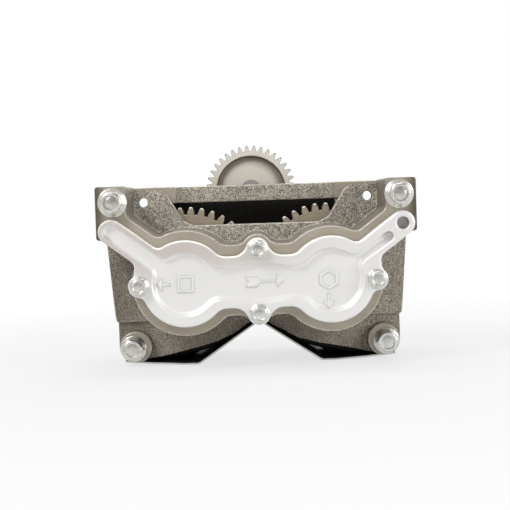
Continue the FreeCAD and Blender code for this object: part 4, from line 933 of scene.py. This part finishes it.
def skin(name, rings, crown, rough_crown):
    """A closed skin round the Y axis. Inside the crown's radius it is marked to be painted darker.
    """
    edit = bmesh.new()
    edge_layer = edit.faces.layers.float.new("edge")
    rows = []
    for ring in rings:
        row = []
        for step in range(RING_STEPS):
            angle = 2 * math.pi * step / RING_STEPS
            radius, depth = ring(angle)
            row.append(edit.verts.new((radius * math.cos(angle) * MM, depth * MM,
                                       radius * math.sin(angle) * MM)))
        rows.append(row)
    for lower, upper in zip(rows, rows[1:]):
        for step in range(RING_STEPS):
            after = (step + 1) % RING_STEPS
            edit.faces.new((lower[step], lower[after], upper[after], upper[step]))
    for row in (rows[0], rows[-1]):
        edit.faces.new(row)
    bmesh.ops.recalc_face_normals(edit, faces=edit.faces)
    grime_layer = edit.faces.layers.float.new("grime")
    bottom = min(vert.co.y for vert in edit.verts)
    for face in edit.faces:
        depths = [vert.co.y for vert in face.verts]
        narrow = max(depths) - min(depths) < NARROW and face.calc_area() < SMALL_AREA
        face[edge_layer] = EDGE_SHARE if narrow else 0.0
        reach = max(math.hypot(vert.co.x, vert.co.z) for vert in face.verts)
        dished = min(depths) > bottom + OFF_CROWN and reach < crown * MM
        face[grime_layer] = rough_crown if dished and face.normal.y < -0.2 else 0.0
    return smooth_mesh(edit, name, 28.0)


print("ring steps:", RING_STEPS)

# %% [markdown]
# ## One flange bolt
# All bolts share one form: a round flange that rises to a hexagon with chamfered corners and a
# shallow dish on top. The sizes are in millimetres, and the seat is at depth 0, with the head
# in front of it and the shank behind.

# %% Bolt form


def flat_radius(angle, flats):
    """Radius of a hexagon at an angle, with its corners rounded a little."""
    sector = (angle + math.pi / 6) % (math.pi / 3) - math.pi / 6
    return min(flats / 2 / math.cos(sector), flats / math.sqrt(3) * 0.985)


def bolt_mesh(name, flats, flange, flange_height, height, shank, length, dish, rough_crown=0.3):
    crown = flats * 0.475

    def chamfer(angle):
        return max(flat_radius(angle, flats) - crown, 0.0) * 0.6

    rings = [
        lambda a: (shank - 0.4, length),
        lambda a: (shank, length - 0.6),
        lambda a: (shank, 0.0),
        lambda a: (flange - 0.5, 0.0),
        lambda a: (flange - 0.1, -0.25),
        lambda a: (flange, -0.6),
        lambda a: (flange - 0.15, -0.95),
        lambda a: (flange - 0.6, -1.2),
        lambda a: (flat_radius(a, flats) + 0.55, -flange_height),
        lambda a: (flat_radius(a, flats) + 0.1, -flange_height - 0.35),
        lambda a: (flat_radius(a, flats), -flange_height - 0.8),
        lambda a: (flat_radius(a, flats), -height + chamfer(a) + 0.25),
        lambda a: (min(flat_radius(a, flats), crown) + 0.05, -height + 0.12),
        lambda a: (crown - 0.35, -height),
        lambda a: (flats * 0.385, -height),
        lambda a: (flats * 0.36, -height + 0.15),
        lambda a: (flats * 0.34, -height + dish),
        lambda a: (flats * 0.31, -height + dish * 0.85),
        lambda a: (flats * 0.2, -height + dish * 0.35),
        lambda a: (flats * 0.06, -height + dish * 0.2),
    ]
    return skin(name, rings, flats * 0.38, rough_crown)


print("bolt form ready")

# %% [markdown]
# ## Bright zinc
# The bolts are plated in bright zinc: shiny, with small clouds of a darker, slightly yellow
# tone from handling. The clouds are the smudge share at a fine scale, rare points of the grain
# get a painted sparkle, the rounded edges are partly worn and partly a painted highlight, and
# the crown is painted darker, most where the clouds are.

# %% Zinc material
ZINC_BRIGHT, ZINC_CLOUD = (0.68, 0.67, 0.63), (0.49, 0.475, 0.42)
ZINC_SPARK, ZINC_EDGE = (0.95, 0.95, 0.94), (0.93, 0.93, 0.91)
ZINC_CROWN_DARK = (0.52, 0.50, 0.46)


def make_zinc():
    made, tree = new_metal("bright zinc")
    wear_and_sheen = place_group(tree, WEAR_AND_SHEEN, Smudges_per_metre=150.0, Edge_strength=0.8)
    grain = place_group(tree, SAND_GRAIN, Grains_per_metre=2400.0)
    colour = blend_colours(tree, wear_and_sheen["Smudge"], ZINC_BRIGHT, ZINC_CLOUD)
    # Painted sparkle on rare points of the grain.
    colour = lay_over(tree, colour, grain["Glint"], 0.5, ZINC_SPARK)
    # Edges: partly rubbed bright, partly a painted highlight.
    colour = blend_colours(tree, wear_and_sheen["Edge"], colour, ZINC_EDGE)
    # The crown is painted darker, most where the clouds are.
    shade_and_grime_mask = times(tree, attribute(tree, "grime"), ramp(tree, wear_and_sheen["Smudge"], -0.3, 0.6))
    colour = blend_colours(tree, shade_and_grime_mask, colour, ZINC_CROWN_DARK)
    rough = plus(tree, 0.24, times(tree, wear_and_sheen["Smudge"], 0.16))
    return finish_metal(made, colour, rough, grain["Height"], metallic=1.0, depth=0.00005,
                        strength=0.5)


ZINC = make_zinc()

# %% [markdown]
# ## Bolts by Geometry Nodes
# A set of equal bolts is one form at many points. The points carry the way each bolt faces as
# an attribute, and the tree turns every copy by it and adds a fixed random turn about its own
# axis, because no two bolts stop at the same angle. The tree ends in real geometry with its
# material, and the result becomes a plain mesh.

# %% Bolt set tree
BOLT_INPUTS = {"Geometry": "NodeSocketGeometry", "Bolt": "NodeSocketObject",
               "Finish": "NodeSocketMaterial", "Turn spread": "NodeSocketFloat"}
TURN_SPREAD = 1.0


def make_bolt_tree():
    tree = bpy.data.node_groups.new("Bolt set", "GeometryNodeTree")
    sockets = {title: tree.interface.new_socket(name=title, in_out="INPUT", socket_type=kind)
               for title, kind in BOLT_INPUTS.items()}
    tree.interface.new_socket(name="Geometry", in_out="OUTPUT", socket_type="NodeSocketGeometry")
    given = add(tree, "NodeGroupInput").outputs
    bolt = add(tree, "GeometryNodeObjectInfo", {"Object": given["Bolt"]},
               transform_space="ORIGINAL")
    facing = add(tree, "GeometryNodeInputNamedAttribute", {"Name": "facing"},
                 data_type="FLOAT_VECTOR")
    copies = add(tree, "GeometryNodeInstanceOnPoints",
                 {"Points": given["Geometry"], "Instance": bolt.outputs["Geometry"],
                  "Rotation": facing.outputs["Attribute"]})
    turn = add(tree, "FunctionNodeRandomValue", {"Seed": 11, 3: given["Turn spread"]},
               data_type="FLOAT")
    about = add(tree, "ShaderNodeCombineXYZ", {"Y": turn.outputs[1]})
    spin = add(tree, "GeometryNodeRotateInstances",
               {"Instances": copies.outputs["Instances"], "Rotation": about.outputs[0]})
    real = add(tree, "GeometryNodeRealizeInstances", {"Geometry": spin.outputs["Instances"]})
    coat = add(tree, "GeometryNodeSetMaterial",
               {"Geometry": real.outputs["Geometry"], "Material": given["Finish"]})
    add(tree, "NodeGroupOutput", {"Geometry": coat.outputs["Geometry"]})
    return tree, {title: socket.identifier for title, socket in sockets.items()}


BOLT_TREE, BOLT_SOCKETS = make_bolt_tree()
print("tree:", BOLT_TREE.name, "with", ", ".join(BOLT_SOCKETS))

# %% [markdown]
# ## A set of bolts
# Each set is a few points, the bolt's form and the tree. A modifier holds them only until the
# result is a plain mesh, and then the helpers are removed.

# %% Bolt sets
FORWARD_FACING = (0.0, 0.0, 0.0)
BACKWARD_FACING = (0.0, 0.0, math.pi)


def bolt_set(name, mesh, places, node, way=FORWARD_FACING):
    """Copies of one bolt at places, all facing one way, given in Euler angles."""
    form = new_object(name + "_form", mesh)
    points = bpy.data.meshes.new(name + "_points")
    points.from_pydata([tuple(place) for place in places], [], [])
    facing = points.attributes.new("facing", "FLOAT_VECTOR", "POINT")
    for number in range(len(places)):
        facing.data[number].vector = way
    holder = new_object(name + "_points", points)
    modifier = holder.modifiers.new("set", "NODES")
    modifier.node_group = BOLT_TREE
    for title, value in (("Bolt", form), ("Finish", ZINC), ("Turn spread", TURN_SPREAD)):
        modifier[BOLT_SOCKETS[title]] = value
    bpy.context.view_layer.update()
    plain = plain_mesh(holder)
    plain.name = name
    bpy.data.objects.remove(holder)
    bpy.data.objects.remove(form)
    made = new_object(name, plain)
    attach(made, "housing")
    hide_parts(node)
    print(f"{name}: {len(places)} bolts, {len(plain.polygons)} faces")


print("bolt sets ready")

# %% [markdown]
# ## Where the bolts sit
# The places are those of the drawing. The cover's four bolts stand on its rim, the upper pair
# on the corner pads, the lower pair on bosses further back, and the bracket's pair points the
# other way, behind the engine balancer.

# %% Bolt places
SMALL_BOLT = dict(flats=13.0, flange=8.8, flange_height=2.1, height=8.0, shank=4.0, dish=0.35)
LARGE_BOLT = dict(flats=17.0, flange_height=3.0, height=12.4, shank=6.0)
BRACKET_BACK = (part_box("idler_bracket")[1].y - GASKET_FACE) / MM
BRACKET_BOLT_END = 122.0
IDLER_CENTRE = middle("idler_gear")
IDLER_SEAT = Vector((IDLER_CENTRE.x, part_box("idler_washer")[0].y, IDLER_CENTRE.z))

bolt_set("cover_bolt_heads", bolt_mesh("cover bolt", length=34.0, **SMALL_BOLT),
         [spot(x, COVER_RIM, z)
          for x, z in ((-102.5, -1.0), (102.5, -1.0), (0.0, 27.7), (0.0, -27.7))], "cover_bolts")
bolt_set("upper_bolt_heads",
         bolt_mesh("casting bolt", flange=12.7, length=97.0, dish=1.1, rough_crown=0.7,
                   **LARGE_BOLT),
         [spot(124.6 * side, 0, 72.0) for side in (-1, 1)], "upper_casting_bolts")
bolt_set("lower_bolt_heads",
         bolt_mesh("lower bolt", flange=11.8, length=47.0, dish=0.6, **LARGE_BOLT),
         [spot(115.5 * side, 50, -61.0) for side in (-1, 1)], "lower_casting_bolts")
bolt_set("bracket_bolt_heads",
         bolt_mesh("bracket bolt", length=BRACKET_BACK - BRACKET_BOLT_END, **SMALL_BOLT),
         [spot(x, BRACKET_BACK, z) for x, z in ((52.0, 50.0), (34.0, 16.0))], "bracket_bolts",
         BACKWARD_FACING)
bolt_set("idler_bolt_head",
         bolt_mesh("idler bolt", flats=10.0, flange=6.6, flange_height=1.0, height=4.1,
                   shank=3.0, length=15.8, dish=0.2),
         [IDLER_SEAT], "idler_bolt")

# %% [markdown]
# ## Gears
# The teeth are exact in the solids. Their copies only get smooth shading and a fine rounding
# of the tooth ends, and each gear has rings about its own axis. The idler is seen best, so its
# web gets its painted ring of shade and its teeth painted shade between them.

# %% Gears
DISH_RADIUS = 34.0
GEAR_EDGES = dict(width=0.25, corner=33.0, segments=1)


def tooth_flank(face):
    """True for the faces between the teeth, which get painted shade."""
    centre = face.calc_center_median() - IDLER_CENTRE
    return abs(face.normal.y) < 0.96 and math.hypot(centre.x, centre.z) > (DISH_RADIUS + 2) * MM


for node in ("left_timing_gear", "right_timing_gear", "drive_gear"):
    dressed(node, make_turned(node + " steel", middle(node), GEAR_STEEL), **GEAR_EDGES)
# The idler's web ring and its faces between the teeth get painted shade.
dressed("idler_gear", make_turned("idler steel", IDLER_CENTRE, IDLER_STEEL, rough=0.38,
                                  metallic=0.5, dish=DISH_RADIUS * MM),
        oily=tooth_flank, **GEAR_EDGES)

# %% [markdown]
# ## Shafts, keys, rings and bushes
# The inner pieces show through the window, from behind and when the shafts turn. Shafts and
# washers are ground bright, bushes and thrust washers are bronze, and the half-moon weights
# are cast and turned on their rim.

# %% Inner pieces
for side in ("left", "right"):
    shaft, weight = side + "_balance_shaft", side + "_weight"
    ground = make_turned(side + " shaft steel", middle(shaft), SHAFT_STEEL, rough=0.24,
                         lines_per_metre=2600.0)
    dressed(shaft, ground, 0.5, corner=35.0)
    low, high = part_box(weight)
    dressed(weight, make_casting(side + " weight iron", middle(shaft), dull=0.25), 0.8,
            [(*FRONT, low.y), (*BACK, high.y)])
    for key in (side + "_gear_key", side + "_weight_key"):
        paint(key, ground)
    for node in (f"{place}_{kind}_{side}" for place in ("front", "rear")
                 for kind in ("bush", "thrust_washer")):
        paint(node, make_turned(node + " bronze", middle(node), BRONZE, rough=0.32))
idler_bronze = make_turned("idler bronze", IDLER_CENTRE, BRONZE, rough=0.32)
plain_steel = make_turned("plain steel", IDLER_CENTRE, PLAIN_STEEL, rough=0.28)
for node in ("idler_bush", "idler_thrust_washer"):
    paint(node, idler_bronze)
for node in ("idler_spindle", "locating_dowels", "drive_gear_key"):
    paint(node, plain_steel)
for node in ("idler_washer", "drive_gear_washer", "right_retaining_ring"):
    dressed(node, make_turned(node + " steel", middle(node), WASHER_STEEL, rough=0.28), 0.3)

# %% [markdown]
# ## Splash tray
# The tray is pressed from sheet. Inside it is painted near black as shade, and its cut edge is
# bright. The edge is found by its normal: the cut faces at both ends look along the shafts. Its
# rounded edges are partly worn and partly a painted highlight.

# %% Tray
TRAY_BRIGHT, TRAY_CLOUD = (0.34, 0.33, 0.31), (0.20, 0.192, 0.178)
TRAY_CUT, TRAY_EDGE = (0.66, 0.65, 0.62), (0.82, 0.81, 0.78)


def make_tray_metal():
    made, tree = new_metal("tray sheet")
    wear_and_sheen = place_group(tree, WEAR_AND_SHEEN, Smudges_per_metre=22.0, Edge_strength=1.0)
    grain = place_group(tree, SAND_GRAIN, Grains_per_metre=2200.0)
    oily = attribute(tree, "oily")
    colour = blend_colours(tree, wear_and_sheen["Smudge"], TRAY_BRIGHT, TRAY_CLOUD)
    # Painted shade: the inside of the tray turns near black.
    colour = lay_over(tree, colour, oily, 0.96, SHADE_BLACK)
    colour = blend_colours(tree, attribute(tree, "machined"), colour, TRAY_CUT)
    # Edges: partly rubbed bright, partly a painted highlight.
    colour = blend_colours(tree, wear_and_sheen["Edge"], colour, TRAY_EDGE)
    rough = plus(tree, 0.3, times(tree, wear_and_sheen["Smudge"], 0.2))
    rough = plus(tree, rough, times(tree, oily, 0.5))
    return finish_metal(made, colour, rough, grain["Height"], metallic=0.7, depth=0.00005)


def faces_up(face):
    """True for the side of the sheet that looks into the balancer."""
    return face.normal.z > 0.1 and abs(face.normal.y) < 0.5


tray_low, tray_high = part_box("splash_tray")
# The inner side of the sheet gets painted shade.
dressed("splash_tray", make_tray_metal(), 0.25, [(*FRONT, tray_low.y), (*BACK, tray_high.y)],
        oily=faces_up)

# %% [markdown]
# ## Nut and tray screws
# The nut on the rear end of the left shaft is dark phosphate, and the small tray screws are
# zinc. Both keep the form of their solids with rounded edges.

# %% Nut and screws
dressed("drive_gear_nut", make_turned("phosphate", middle("drive_gear_nut"), PHOSPHATE,
                                      rough=0.45, metallic=0.7), 0.5)
dressed("tray_screws", ZINC, 0.25)

# %% [markdown]
# ## Floor
# The balancer stands on its tray on a plain pale floor. For the camera and for reflections the
# floor glows nearly white, and keeps a part of its shade near the balancer, so the shadow
# stays. Further off it is as white as the world behind it.

# %% Floor
FLOOR_Z = CAD_BOX[0].z
FLOOR_REACH = 4.0
FLOOR_COLOUR = (0.62, 0.62, 0.62)
NEAR_GLOW = 0.72
GLOW_FROM, GLOW_TO = 0.22, 0.75


def new_shading(owner, kind):
    """The node tree of a material or a world, and its shader of one kind."""
    owner.use_nodes = True
    return owner.node_tree, next(n for n in owner.node_tree.nodes if n.type == kind)


floor_mesh = bpy.data.meshes.new("floor")
floor_mesh.from_pydata([(x * FLOOR_REACH, y * FLOOR_REACH, FLOOR_Z)
                        for x, y in ((-1, -1), (1, -1), (1, 1), (-1, 1))], [], [(0, 1, 2, 3)])
floor = new_object("floor", floor_mesh)
floor_paint = bpy.data.materials.new("floor")
tree, shade = new_shading(floor_paint, "BSDF_PRINCIPLED")
for name, value in (("Base Color", FLOOR_COLOUR), ("Roughness", 1.0),
                    ("Specular IOR Level", 0.0)):
    feed(tree, value, shade.inputs[name])
glow = add(tree, "ShaderNodeEmission", {"Strength": 1.0})
path = add(tree, "ShaderNodeLightPath").outputs
seen = maths(tree, "MAXIMUM", path["Is Camera Ray"],
             maths(tree, "MAXIMUM", path["Is Glossy Ray"], path["Is Transmission Ray"]))
far = ramp(tree, vectors(tree, "LENGTH", {0: own_place(tree)}, "Value"), GLOW_FROM, GLOW_TO)
fade = plus(tree, NEAR_GLOW, times(tree, far, 1.0 - NEAR_GLOW))
mix = add(tree, "ShaderNodeMixShader",
          {"Fac": times(tree, seen, fade), 1: shade.outputs[0], 2: glow.outputs[0]})
feed(tree, mix.outputs[0], tree.nodes["Material Output"].inputs["Surface"])
floor_mesh.materials.append(floor_paint)
print("floor at z:", round(FLOOR_Z, 4))

# %% [markdown]
# ## World
# The world lights the balancer as a plain pale grey, and is white where the camera sees it. A
# bright metal mirrors the room, and a room is darker on the side where the photographer
# stands. So a reflection sees white behind the balancer and grey in front of it, which gives
# the bolts and the gears their dark parts.

# %% World
ROOM_LEVEL = 0.3
DAYLIGHT = 0.36
ROOM_FRONT, ROOM_BACK = -0.75, 0.1

world = bpy.data.worlds.new("studio")
bpy.context.scene.world = world
tree, sky = new_shading(world, "BACKGROUND")
path = add(tree, "ShaderNodeLightPath").outputs
way = add(tree, "ShaderNodeSeparateXYZ",
          {0: add(tree, "ShaderNodeTexCoord").outputs["Generated"]}).outputs
room = ramp(tree, way["Y"], ROOM_FRONT, ROOM_BACK)
mirrored = plus(tree, ROOM_LEVEL, times(tree, room, 1.0 - ROOM_LEVEL))
clear = maths(tree, "MAXIMUM", path["Is Camera Ray"], path["Is Transmission Ray"])
seen = maths(tree, "MAXIMUM", clear, times(tree, path["Is Glossy Ray"], mirrored))
feed(tree, (1.0, 1.0, 1.0), sky.inputs["Color"])
feed(tree, maths(tree, "MAXIMUM", seen, DAYLIGHT), sky.inputs["Strength"])
print("daylight:", DAYLIGHT, "room:", ROOM_LEVEL)

# %% [markdown]
# ## Lamps
# Broad soft lamps give each metal a bright side and a grey side. The key stands to the left in
# front, the fill to the right, and one lamp each above and behind keeps the far sides from
# going black. All of them aim at the middle of the balancer.

# %% Lamps
AIM = Vector((0.0, -0.03, -0.06))
LAMPS = {
    "key": ((-0.9, -1.1, 1.0), (0.6, 0.6), 14.0),
    "fill": ((1.2, -0.9, 0.35), (0.7, 0.7), 7.5),
    "top": ((0.0, 0.2, 1.3), (1.0, 0.7), 8.0),
    "back": ((0.3, 1.3, 0.5), (0.9, 0.6), 6.0),
}
for name, (place, size, power) in LAMPS.items():
    data = bpy.data.lights.new(name, "AREA")
    data.shape = "RECTANGLE"
    data.size, data.size_y = size
    data.energy = power
    lamp = new_object(name, data)
    lamp.location = place
    lamp.rotation_euler = (AIM - Vector(place)).to_track_quat("-Z", "Y").to_euler()
    print(f"{name}: {power} W at {place}")

# %% [markdown]
# ## Look setup
# The view transform is Standard, so a colour renders as it is written.

# %% Close
bpy.context.scene.view_settings.view_transform = "Standard"
